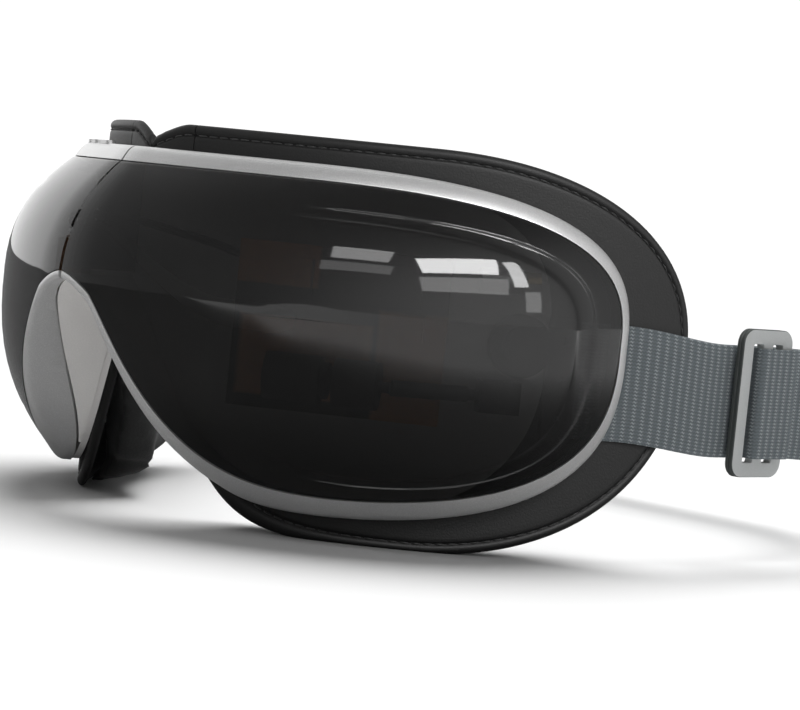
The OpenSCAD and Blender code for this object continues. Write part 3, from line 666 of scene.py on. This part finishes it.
def settle(shown):
    """Writes an object's modified shape into its mesh and clears its modifiers."""
    graph = bpy.context.evaluated_depsgraph_get()
    fixed = bpy.data.meshes.new_from_object(shown.evaluated_get(graph))
    shown.modifiers.clear()
    shown.data = fixed
    return fixed


def plumped(mesh, voxel, pinned, cap):
    """The mesh blown up like a filled bag: remeshed, then cloth under pressure, with the
    pinned places held and no point moving further than cap millimetres."""
    bag = bpy.data.objects.new("bag", mesh)
    scene.collection.objects.link(bag)
    remesh = bag.modifiers.new("even", "REMESH")
    remesh.mode = "VOXEL"
    remesh.voxel_size = voxel * MM
    settle(bag)
    rest = np.array([v.co for v in bag.data.vertices])
    held = bag.vertex_groups.new(name="held")
    held.add([int(i) for i in np.nonzero(pinned(rest / MM))[0]], 1.0, "REPLACE")
    cloth = bag.modifiers.new("filling", "CLOTH")
    cloth.settings.quality = 6
    cloth.settings.use_pressure = True
    cloth.settings.uniform_pressure_force = 4
    cloth.settings.vertex_group_mass = "held"
    cloth.settings.effector_weights.gravity = 0
    for step in range(1, 21):
        scene.frame_set(step)
    settle(bag)
    scene.frame_set(1)
    moved = np.array([v.co for v in bag.data.vertices]) - rest
    far = np.linalg.norm(moved, axis=1, keepdims=True)
    moved *= np.minimum(1, cap * MM / np.maximum(far, 1e-9))
    bag.data.vertices.foreach_set("co", (rest + moved).ravel())
    smooth = bag.modifiers.new("soft", "SMOOTH")
    smooth.factor = 0.5
    smooth.iterations = 6
    fixed = settle(bag)
    bpy.data.objects.remove(bag)
    return fixed


def to_curve(points):
    """s, w and z, in millimetres, of points on the wearer's left."""
    x, y, z = points[:, 0], points[:, 1], points[:, 2]
    cx = (bridge_r - side_r) * math.sin(bridge_turn)
    cy = bridge_r + (side_r - bridge_r) * math.cos(bridge_turn)
    a = np.arctan2(x - cx, cy - y)
    return bridge_len + (a - bridge_turn) * side_r, np.hypot(x - cx, cy - y) - side_r, z - mid_z


def near_panel(points):
    return to_curve(points)[1] > pad_front - 2.0


pad_voxel, pad_swell, sheet_room = 1.9, 3.0, 0.7
pad_base = mesh_of("pad_base", pad_grid(90, 50, sheet_room), 1, True, True)
pad_mesh = plumped(pad_base, pad_voxel, near_panel, pad_swell)
pad_co = np.array([v.co for v in pad_mesh.vertices]) / MM
pad_n = np.array([v.normal for v in pad_mesh.vertices])
pad_s, pad_w, pad_z = to_curve(pad_co)
rear = ease((pad_front - 3 - pad_w) / 3)
eye_seam = np.exp(-((eye_reach(pad_s, pad_z) - 1.12) / 0.035) ** 2)
rim_seam = np.exp(-((field(pad_line, pad_s, pad_z) - 0.83) / 0.018) ** 2) * ease((pad_s - 24) / 8)
eye_seam_deep, rim_seam_deep = 0.9, 0.8
pad_co -= pad_n * (eye_seam_deep * eye_seam + rim_seam_deep * rim_seam)[:, None] * rear[:, None]
pad_co[:, 2] = np.maximum(pad_co[:, 2], 0.0)
pad_mesh.vertices.foreach_set("co", (pad_co * MM).ravel())
pad_mesh.shade_smooth()
soft_leather = dress(new_finish("soft_black_leather", Sheen_Weight=0.08, Sheen_Roughness=0.5), leather_grain,
                     0.35, 0.00012, Colour=grey(0.016), Rubbed=grey(0.028), Pebbles=850.0, Smooth=0.45,
                     Rough=0.62)
for side, sign in sides:
    cushion_mesh = pad_mesh.copy()
    cushion_mesh.name = "cushion_" + side
    if sign < 0:
        cushion_mesh.vertices.foreach_set("co", (pad_co * (-MM, MM, MM)).ravel())
        cushion_mesh.flip_normals()
    cushion = piece("cushion_" + side, cushion_mesh, soft_leather, side + "_half", "soft_leather",
                    "face_cushion_" + side)

# Brow tabs: each panel's cover carries on over the fold as a narrow padded tab with the
# same rolled and stitched edge, so no light shows above the hinge.
tab_s = np.linspace(0.5, 15.7, 30)
tab_top = panel_line[1] - 3.6 * (1 - ease(tab_s / 14)) - 1.0 * (1 - ease((tab_s - 0.5) / 1.6))
tab_low = 36
tab_section = [(-6.4, tab_low + k - tab_top) for k in (0.0, 0.4)]
tab_section += [(w, -by + 0 * tab_s) for by, w in rim_profile[2:-1]]
tab_section += [(-8.7, tab_low + k - tab_top) for k in (0.4, 0.0)]
tab_grid = np.stack([spot(tab_s, w, tab_top + up) for w, up in tab_section], 1)
sewn_from = 4
for side, sign in sides:
    tab_mesh = mesh_of("tab_%s_cover" % side, tab_grid, sign, True, True, 60)
    tab = piece("brow_cover_" + side, tab_mesh, black_leather, side + "_half", "black_leather",
                "brow_tab_" + side)
    sew("brow_stitches_", "tab_stitches_", side, sign, tab_s[sewn_from:], tab_top[sewn_from:] - seam_inset)

# Bridge gusset: a pleated strip of the same soft leather sewn to both cushions behind the hinge.
gusset_half, gusset_low, gusset_high, gusset_thick = 11.6, 7, 36, 0.9
pleat_pitch, pleat_depth = 3.9, 0.42
gusset_x = np.linspace(-gusset_half, gusset_half, 94)
gusset_y = 14.55 - 1.5 * ease((np.abs(gusset_x) - 5) / 6.6)
gusset_y = gusset_y + pleat_depth * np.cos(gusset_x * math.tau / pleat_pitch)
gusset_z = mid_z + np.linspace(gusset_low, gusset_high, 12)
gusset_grid = []
for x, y in zip(gusset_x, gusset_y):
    face = [(x, y, z) for z in gusset_z]
    gusset_grid.append(face + [(x, y + gusset_thick, z) for z in gusset_z[::-1]])
gusset = piece("fold_gusset", mesh_of("gusset_leather", gusset_grid, 1, True, True, 60), soft_leather, None,
               "soft_leather", "bridge_gusset")
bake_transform(gusset)

# Strap: one length of 30 mm elastic webbing, ribbed across its width, sewn into both
# housings and passed through the buckle. It is blue-grey, with paler binding threads.
strap_depth, strap_exit, strap_from, strap_half_t = -5.4, 139, 118.6, 0.8
strap_drop, near_drop, strap_sag = 9.7, 3.1, 10
loop_start = math.degrees(heading(strap_exit)) - 4
lead_r, corner_r, straight_len, straight_way = 70, 70, 44, 92
lead_len = lead_r * math.radians(straight_way - loop_start)
corner_len = corner_r * math.radians(180 - straight_way)
rib_pitch, buckle_d = 2.7, lead_len + 18.5


def bend(place, way, radius, by):
    a, b = math.radians(way), math.radians(way + by)
    return place + radius * np.array([math.sin(b) - math.sin(a), math.cos(a) - math.cos(b)])


exit_place = spot(strap_exit, strap_depth, 0)[:2]
lead_end = bend(exit_place, loop_start, lead_r, straight_way - loop_start)
straight_dir = np.array([math.cos(math.radians(straight_way)), math.sin(math.radians(straight_way))])
straight_end = lead_end + straight_len * straight_dir
corner_end = bend(straight_end, straight_way, corner_r, 180 - straight_way)
loop_len = lead_len + straight_len + corner_len + corner_end[0]


def strap_place(d):
    """Place and heading, in degrees, of the webbing's middle at a distance past the housing."""
    if d < 0:
        return spot(strap_exit + d, strap_depth, 0)[:2], math.degrees(heading(strap_exit + d))
    if d < lead_len:
        by = math.degrees(d / lead_r)
        return bend(exit_place, loop_start, lead_r, by), loop_start + by
    if d < lead_len + straight_len:
        return lead_end + (d - lead_len) * straight_dir, straight_way
    if d < loop_len - corner_end[0]:
        by = math.degrees((d - lead_len - straight_len) / corner_r)
        return bend(straight_end, straight_way, corner_r, by), straight_way + by
    return np.array([loop_len - d, corner_end[1]]), 180


def strap_height(d):
    """Height of the webbing's middle: it falls a little to the buckle and on to the back."""
    to_buckle = near_drop * ease(d / (lead_len + 6))
    to_back = (strap_sag - near_drop) * ease((d - lead_len - straight_len + 20) / 110)
    return float(mid_z - strap_drop - to_buckle - to_back)


cross_pitch = 0.9  # one binding thread to the next, across the webbing


def woven_group():
    """Ribbed elastic webbing: raised weft ribs, paler binding threads and fine crossing, whose dips carry
    painted shade.
    """
    tree, given, out = new_group(
        "woven_ribs", {"Ground": ("c", (0.1, 0.1, 0.1, 1)), "Binding": ("c", (0.2, 0.2, 0.2, 1)),
                       "Pitch": ("f", 2.7)}, {"Colour": "c", "Roughness": "f", "Height": "f"})
    along = wire(tree, "ShaderNodeAttribute", {"attribute_name": "along"}).outputs["Fac"]
    across = wire(tree, "ShaderNodeAttribute", {"attribute_name": "across"}).outputs["Fac"]
    turns = maths(tree, "MULTIPLY", maths(tree, "DIVIDE", along, given["Pitch"]), math.tau)
    rib = maths(tree, "MULTIPLY_ADD", maths(tree, "COSINE", turns), 0.5, 0.5)
    sway = maths(tree, "MULTIPLY", maths(tree, "SINE", maths(tree, "MULTIPLY", turns, 3.0)), 0.9)
    crossing = maths(tree, "MULTIPLY_ADD", across, math.tau / cross_pitch, sway)
    cross = maths(tree, "MULTIPLY_ADD", maths(tree, "SINE", crossing), 0.5, 0.5)
    fuzz = wire(tree, "ShaderNodeTexNoise", Vector=tree.nodes.new("ShaderNodeTexCoord").outputs["Object"],
                Scale=1800.0, Detail=2.0)
    binding = maths(tree, "MULTIPLY", maths(tree, "POWER", rib, 2.4), maths(tree, "POWER", cross, 1.6))
    # Painted shade: the dips between the crossing threads are darker; the fuzz adds random tone on top.
    shade = maths(tree, "MULTIPLY_ADD", fuzz.outputs[0], 0.5, maths(tree, "MULTIPLY_ADD", cross, 0.3, 0.6))
    tint = mixed(tree, maths(tree, "MULTIPLY", binding, 0.8), given["Ground"], given["Binding"])
    fuzz_and_dip_shade = wire(tree, "ShaderNodeVectorMath", {"operation": "SCALE"}, i0=tint, i3=shade)
    tree.links.new(fuzz_and_dip_shade.outputs[0], out["Colour"])
    tree.links.new(maths(tree, "MULTIPLY_ADD", fuzz.outputs[0], 0.2, 0.75), out["Roughness"])
    tree.links.new(maths(tree, "MULTIPLY_ADD", rib, 0.5, cross), out["Height"])
    return tree


woven_ribs = woven_group()
woven = new_finish("ribbed_webbing", Sheen_Weight=0.15, Sheen_Roughness=0.4)
webbing = dress(woven, woven_ribs, 0.5, 0.00018, Ground=(0.105, 0.125, 0.136, 1),
                Binding=(0.34, 0.37, 0.38, 1), Pitch=rib_pitch)


def thread_places(mesh, along, across):
    """Stores where each point lies along and across the cloth, in millimetres."""
    for key, values in (("along", along), ("across", across)):
        made = mesh.attributes.new(key, "FLOAT", "POINT")
        made.data.foreach_set("value", np.asarray(values, np.float32).ravel())


def rib_height(d):
    return 0.13 * np.abs(np.cos(math.pi * d / rib_pitch)) - 0.06


half_d = np.linspace(strap_from - strap_exit, loop_len, int((loop_len + 20.4) / 0.54))
edge_z = np.concatenate([[-15, -14.85], np.linspace(-14.3, 14.3, 9), [14.85, 15]])
strap_rows, strap_along = [], []
for way, distances in ((1, half_d), (-1, half_d[-2::-1])):
    for d in distances:
        place, turned = strap_place(d)
        a = math.radians(turned)
        outward = np.array([math.sin(a), -math.cos(a)])
        droop = strap_height(d)
        smooth_band = float(ease((np.abs(d - buckle_d + 9) - 1) / 3)) if d < buckle_d - 6 else 1.0
        row = []
        for face in (1, -1):
            for z in edge_z[::face]:
                thick = strap_half_t * (1 - (abs(z) / 15.15) ** 24)
                thick += float(rib_height(d)) * smooth_band * (abs(z) < 14.6)
                x, y = place + outward * thick * face
                row.append((way * x, y, droop + z))
        strap_rows.append(row)
        strap_along.append(d if way > 0 else 2 * loop_len - d)
strap_mesh = mesh_of("strap_weave", strap_rows, 1, True, True, 60)
ring_size = 2 * len(edge_z)
thread_places(strap_mesh, np.repeat(strap_along, ring_size),
              np.tile(np.concatenate([edge_z, edge_z[::-1]]), len(strap_rows)))
strap = piece("strap_webbing", strap_mesh, webbing, None, "grey_webbing", "strap_left", "strap_back",
              "strap_right")
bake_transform(strap)

# Buckle: a light grey moulded slide plate with two slots, on a darker core that shows as
# a band with a parting line round its edge. It slides along the webbing.
buckle_wide, buckle_high, buckle_corner, buckle_plane = 21, 39.5, 4, 2.9
buckle_place, buckle_way = strap_place(buckle_d)


def on_buckle(points):
    """From the buckle's own axes, x along the strap and y inward, to the mask's."""
    a = math.radians(buckle_way)
    p = np.asarray(points, float)
    return np.stack([buckle_place[0] + p[..., 0] * math.cos(a) - p[..., 1] * math.sin(a),
                     buckle_place[1] + p[..., 0] * math.sin(a) + p[..., 1] * math.cos(a),
                     p[..., 2] + strap_height(buckle_d)], -1)


def rounded_box(wide, high, corner, middle=0.0, per_corner=9):
    """Points round a rectangle with rounded corners."""
    points = []
    for quarter, (sx, sz) in enumerate(((1, 1), (-1, 1), (-1, -1), (1, -1))):
        for t in np.linspace(0, math.pi / 2, per_corner):
            g = quarter * math.pi / 2 + t
            points.append((middle + sx * (wide / 2 - corner) + corner * math.cos(g),
                           sz * (high / 2 - corner) + corner * math.sin(g)))
    return points


slot_wide, slot_high, slot_middle = 4.2, 31.6, 4.1
# inset, depth through the plate
plate_edge = [(0.55, -1.3), (0.18, -1.22), (0.0, -0.95), (0.0, -0.25), (0.25, -0.1), (0.25, 0.1),
              (0.0, 0.25), (0.0, 0.95), (0.18, 1.22), (0.55, 1.3)]
slot_edge = [(-0.35, -1.3), (-0.08, -1.2), (0.0, -0.9), (0.0, 0.9), (-0.08, 1.2), (-0.35, 1.3)]
work = bmesh.new()
fronts, backs = [], []
for wide, high, corner, middle, edge in ((buckle_wide, buckle_high, buckle_corner, 0, plate_edge),
                                         (slot_wide, slot_high, 0.5, -slot_middle, slot_edge),
                                         (slot_wide, slot_high, 0.5, slot_middle, slot_edge)):
    loops = []
    for by, depth in edge:
        around = rounded_box(wide - 2 * by, high - 2 * by, max(0.2, corner - by), middle)
        places = on_buckle([(x, depth - buckle_plane, z) for x, z in around]) * MM
        loops.append([work.verts.new(p) for p in places])
    for j, (upper, lower) in enumerate(zip(loops, loops[1:])):
        for k in range(len(upper)):
            n = (k + 1) % len(upper)
            face = work.faces.new((upper[k], upper[n], lower[n], lower[k]))
            face.material_index = 1 if wide == buckle_wide and 1 <= j <= 7 else 0
    fronts.append(loops[0])
    backs.append(loops[-1])
for rims in (fronts, backs):
    edges = [work.edges.get((rim[k], rim[(k + 1) % len(rim)])) for rim in rims for k in range(len(rim))]
    bmesh.ops.triangle_fill(work, use_beauty=True, edges=edges)
bmesh.ops.recalc_face_normals(work, faces=work.faces)
buckle_mesh = bpy.data.meshes.new("buckle_plate")
work.to_mesh(buckle_mesh)
work.free()
buckle_mesh.shade_smooth()
buckle_mesh.set_sharp_from_angle(angle=math.radians(32))
for name, colour, fleck, smooth, rough in (
        ("light_grey_moulding", (0.46, 0.475, 0.475, 1), (0.51, 0.525, 0.525, 1), 0.36, 0.5),
        ("dark_core_moulding", (0.045, 0.052, 0.05, 1), (0.055, 0.062, 0.06, 1), 0.4, 0.55)):
    buckle_mesh.materials.append(moulded(name, colour, fleck, 2600.0, smooth, rough, 0.1, 0.00005))
piece("buckle_slide_plate", buckle_mesh, None, "buckle_slider", "buckle_grey", "buckle")

# The webbing's turn through the buckle: up through the near slot, over the bar and the
# far rail and back down to the strap.
turn_path = np.array([(-3.1, -1.2), (-3.1, -4.3), (-2.95, -4.95), (-2.4, -5.3), (0, -5.3), (4, -5.25),
                      (8, -5.3), (10.9, -5.3), (11.6, -5.0), (11.8, -4.3), (11.8, -1.2)])
turn_run = np.concatenate([[0], np.cumsum(np.hypot(*np.diff(turn_path, axis=0).T))])
turn_d = np.linspace(0, turn_run[-1], 90)
turn_line = np.stack([np.interp(turn_d, turn_run, turn_path[:, i]) for i in (0, 1)], 1)
turn_way = np.gradient(turn_line, axis=0)
turn_way /= np.linalg.norm(turn_way, axis=1, keepdims=True)
turn_out = np.stack([turn_way[:, 1], -turn_way[:, 0]], 1)
turn_z = np.concatenate([[-14.7, -14.5], np.linspace(-14, 14, 7), [14.5, 14.7]])
turn_grid = []
for z in turn_z:
    thick = 0.42 * (1 - (abs(z) / 14.95) ** 20)
    lift = (thick + rib_height(turn_d))[:, None]
    face = turn_line + turn_out * lift
    under = (turn_line - turn_out * thick)[::-1]
    turn_grid.append(on_buckle([(x, y, z) for x, y in np.concatenate([face, under])]))
turn_mesh = mesh_of("webbing_turn_weave", turn_grid, 1, True, True, 60)
thread_places(turn_mesh, np.tile(np.concatenate([turn_d, turn_d[::-1]]), len(turn_z)),
              np.repeat(turn_z, 2 * len(turn_d)))
piece("webbing_turn", turn_mesh, webbing, "buckle_slider", "grey_webbing", "strap_fold")

# Air bladders: two welded sheets of film behind each panel, which the pump fills, and the
# heating films that lie on them, a copper track printed on amber film.
film = moulded("bladder_film", grey(0.42), grey(0.5), 900.0, 0.25, 0.4, 0.2, Alpha=0.9)
amber = moulded("amber_heating_film", (0.42, 0.2, 0.06, 1), (0.6, 0.32, 0.12, 1), 500.0, 0.3, 0.45, 0.2,
                metal=0.4)
bladder_line, heater_line = (136, 32, 42, 66, 2.4, 12), (134, 30, 40, 66, 2.4, 13)
# share of the outline, depth
bladder_profile = [(0.0, -9.12), (0.5, -9.12), (0.9, -9.2), (0.97, -9.6), (0.985, -10.4), (1.0, -10.5),
                   (1.0, -10.7), (0.985, -10.8), (0.97, -11.6), (0.9, -12.0), (0.5, -12.1), (0.0, -12.1)]
heater_profile = [(0.0, -12.4), (0.7, -12.4), (1.0, -12.45), (1.0, -13.1), (0.7, -13.2), (0.0, -13.2)]
for name, line, start, profile, skin, slot, node in (
        ("bladder", bladder_line, 36, bladder_profile, film, "bladder_film", "air_bladder_"),
        ("heater", heater_line, 37, heater_profile, amber, "copper_film", "heating_pad_")):
    rows = nested([(line, share, w) for share, w in profile], start, 16, 60)
    for made in pair(name + "_film_", node, name + "_%s", rows, skin, slot, weld=True):
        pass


# Air hose: a short extruded silicone tube inside the wearer's left housing, pushed on the
# pump's nozzle at one end and on the valve at the other.


def tube(path, radius, corners=12):
    """A round tube along a path in millimetres."""
    path = np.array(path, float)
    way = np.gradient(path, axis=0)
    way /= np.linalg.norm(way, axis=1, keepdims=True)
    flat = np.stack([-way[:, 1], way[:, 0], 0 * way[:, 0]], 1)
    flat /= np.linalg.norm(flat, axis=1, keepdims=True)
    up = np.cross(way, flat)
    g = np.arange(corners) * math.tau / corners
    round_way = np.cos(g)[None, :, None] * flat[:, None] + np.sin(g)[None, :, None] * up[:, None]
    return path[:, None] + radius * round_way


hose_finish = moulded("silicone_tube", grey(0.012, 0.1), grey(0.016, 0.1), 900.0, 0.5, 0.65, 0.1)
pump_s, valve_s, pump_z = 60, 104, -15
pump_way, valve_way = float(heading(pump_s)), float(heading(valve_s))
hose_from = spot(pump_s, 6.4, pump_z) + 18.9 * np.array([math.cos(pump_way), math.sin(pump_way), 0])
hose_to = spot(valve_s, 3, pump_z) - 7.9 * np.array([math.cos(valve_way), math.sin(valve_way), 0])
hose_path = [hose_from + (hose_to - hose_from) * t for t in np.linspace(0, 1, 16)]
piece("air_tube", mesh_of("air_tube_wall", tube(hose_path, 2), 1, True, True), hose_finish, "left_half",
      "hose_rubber", "air_hose")

# Wires: three thin leads in black sleeves, laid together and taken over the fold from one
# half's boards to the other's.
wire_finish = moulded("black_wire_sleeve", grey(0.012), grey(0.02), 900.0, 0.4, 0.55, 0.1)
wire_reach, lay_r, lead_r_out, lead_count = 36, 0.62, 0.55, 3
wire_s = np.linspace(-wire_reach, wire_reach, 60)
drop = (wire_s / wire_reach) ** 2
wire_line = spot(np.abs(wire_s), 9 - 8 * drop, 20 - 6 * drop)
wire_line[:, 0] *= np.sign(wire_s)
wire_parts = []
for k in range(lead_count):
    turns = wire_s / wire_reach * 4 + k * math.tau / lead_count
    off = np.stack([0 * turns, lay_r * np.cos(turns), lay_r * np.sin(turns)], 1)
    wire_parts.append(mesh_of("lead", tube(wire_line + off, lead_r_out, 8), 1, True, True))
work = bmesh.new()
for part in wire_parts:
    work.from_mesh(part)
wire_mesh = bpy.data.meshes.new("wire_sleeves")
work.to_mesh(wire_mesh)
work.free()
wire_mesh.shade_smooth()
wires = piece("fold_wires", wire_mesh, wire_finish, None, "wire_red", "wire_bundle")
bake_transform(wires)


# Hinge and screws: a ground steel pin through stamped leaves, and steel screws that close
# each housing from behind.


def refinish(finish, *names, edge=0.0):
    """Gives CAD nodes their finish, and a small rounding on their edges."""
    for name in names:
        shown = nodes[name]
        shown.data.materials.clear()
        shown.data.materials.append(finish)
        if edge:
            rounding = shown.modifiers.new("edges", "BEVEL")
            rounding.width = edge * MM
            rounding.segments = 2
            rounding.limit_method = "ANGLE"
            rounding.angle_limit = math.radians(50)


steel = moulded("ground_steel", grey(0.42), grey(0.52), 2200.0, 0.25, 0.4, 0.15, 0.00005, metal=1.0)
refinish(steel, "hinge_pin", "hinge_leaf_left", "hinge_leaf_right", "shell_screws_left",
         "shell_screws_right")

# Buttons, socket and status light: satin silver keys with rounded edges in the top of the
# wearer's right bezel, a steel charging socket below and a clear light guide.
refinish(silver, "power_button", "mode_button", "sound_button", edge=0.25)
refinish(steel, "charging_port")
clear_guide = moulded("clear_guide", (0.75, 0.85, 0.95, 1), (0.8, 0.9, 1.0, 1), 900.0, 0.06, 0.12, 0.0, 0.0,
                      IOR=1.46, Alpha=0.6)
refinish(clear_guide, "status_light")

# The keys, the socket and the light come out through openings in the same bezel, which
# are cut 0.2 mm larger all round than the part that fills them, from 2.5 mm below its end.
end_depth, pocket_depth = 1.0, 2.5


def opening(name, way, gap=0.2, reach=4):
    """A cutter with the outline of a node's outer end, carried out through the wall."""
    points = [Vector(v.co) for v in nodes[name].data.vertices]
    end = max(way * p.z for p in points)
    outer = [p for p in points if way * p.z > end - end_depth * MM]
    centre = sum(outer, Vector()) / len(outer)
    work = bmesh.new()
    for p in outer:
        side = Vector((p.x - centre.x, p.y - centre.y, 0))
        side += side.normalized() * gap * MM
        for height in (end - pocket_depth * MM, end + reach * MM):
            work.verts.new((centre.x + side.x, centre.y + side.y, way * height))
    hull = bmesh.ops.convex_hull(work, input=work.verts)
    spare = {v for v in hull["geom_interior"] + hull["geom_unused"] if isinstance(v, bmesh.types.BMVert)}
    bmesh.ops.delete(work, geom=list(spare), context="VERTS")
    bmesh.ops.recalc_face_normals(work, faces=work.faces)
    cut = bpy.data.meshes.new(name + "_opening")
    work.to_mesh(cut)
    work.free()
    cutter = bpy.data.objects.new(name + "_opening", cut)
    scene.collection.objects.link(cutter)
    return cutter


keyed_bezel = bpy.data.objects["bezel_frame_right"]
cutters = [opening(name, 1) for name in ("power_button", "mode_button", "sound_button", "status_light")]
cutters.append(opening("charging_port", -1))
for cutter in cutters:
    cut = keyed_bezel.modifiers.new("opening", "BOOLEAN")
    cut.object = cutter
    cut.operation = "DIFFERENCE"
    cut.solver = "EXACT"
settle(keyed_bezel).set_sharp_from_angle(angle=math.radians(50))
for cutter in cutters:
    bpy.data.objects.remove(cutter)

# Boards: the main board behind the lens is grey with three bare zones that show as paler
# brown fields. The boards for the keys and the charger have green solder mask.
board_brown = moulded("brown_board", (0.85, 0.38, 0.17, 1), (0.95, 0.5, 0.25, 1), 260.0, 0.45, 0.6, 0.2)
board_tree = board_brown.node_tree
board_way = wire(board_tree, "ShaderNodeSeparateXYZ",
                 Vector=board_tree.nodes.new("ShaderNodeTexCoord").outputs["Object"])


def from_middle(axis, middle, size):
    """0 at the middle of a bare zone and 1 at its edge, along one axis."""
    off = maths(board_tree, "SUBTRACT", board_way.outputs[axis], middle * MM)
    return maths(board_tree, "DIVIDE", maths(board_tree, "ABSOLUTE", off), size / 2 * MM)


board_zone = 0.0
for zone_x, zone_z, zone_wide, zone_high in ((42, 71, 17, 14), (49, 46, 26, 20), (74, 45, 22, 30)):
    beyond = maths(board_tree, "MAXIMUM", from_middle(0, zone_x, zone_wide),
                   from_middle(2, zone_z, zone_high))
    inside = maths(board_tree, "MULTIPLY_ADD", beyond, -12.0, 12.5, clamp=True)
    board_zone = maths(board_tree, "MAXIMUM", inside, board_zone)
board_shader = board_tree.nodes["Principled BSDF"]
bare = board_shader.inputs["Base Color"].links[0].from_socket
masked = mixed(board_tree, board_zone, (0.16, 0.155, 0.15, 1), bare)
board_tree.links.new(masked, board_shader.inputs["Base Color"])
refinish(board_brown, "main_board")
board_green = moulded("green_board", (0.02, 0.13, 0.06, 1), (0.05, 0.2, 0.1, 1), 900.0, 0.3, 0.45, 0.2)
refinish(board_green, "charge_board", "button_board")

# Battery, pump, valve, speakers and vibration motors: bought-in parts in dark moulded or
# shrink-wrapped cases with steel cans, and sintered weights.
wrap = moulded("battery_wrap", (0.28, 0.13, 0.06, 1), (0.34, 0.17, 0.08, 1), 700.0, 0.25, 0.4, 0.2)
refinish(wrap, "battery", edge=1.2)
dark_case = moulded("dark_moulding", grey(0.05, 0.05), grey(0.06, 0.05), 2200.0, 0.55, 0.7)
refinish(dark_case, "air_pump", "air_valve", "speaker_left", "speaker_right", "strap_anchor_left",
         "strap_anchor_right", "seam_cap_left", "seam_cap_right", "pump_motor", edge=0.2)
refinish(steel, "vibration_motor_left", "vibration_motor_right")
charcoal = moulded("charcoal_moulding", grey(0.02, 0.05), grey(0.03, 0.05), 2200.0, 0.5, 0.65, 0.1)
refinish(charcoal, "pump_crank")
sintered = moulded("sintered_weight", (0.45, 0.33, 0.15, 1), (0.6, 0.45, 0.22, 1), 3000.0, 0.35, 0.6, 0.4,
                   metal=0.9)
refinish(sintered, "vibration_weight_left", "vibration_weight_right")

bpy.context.view_layer.update()
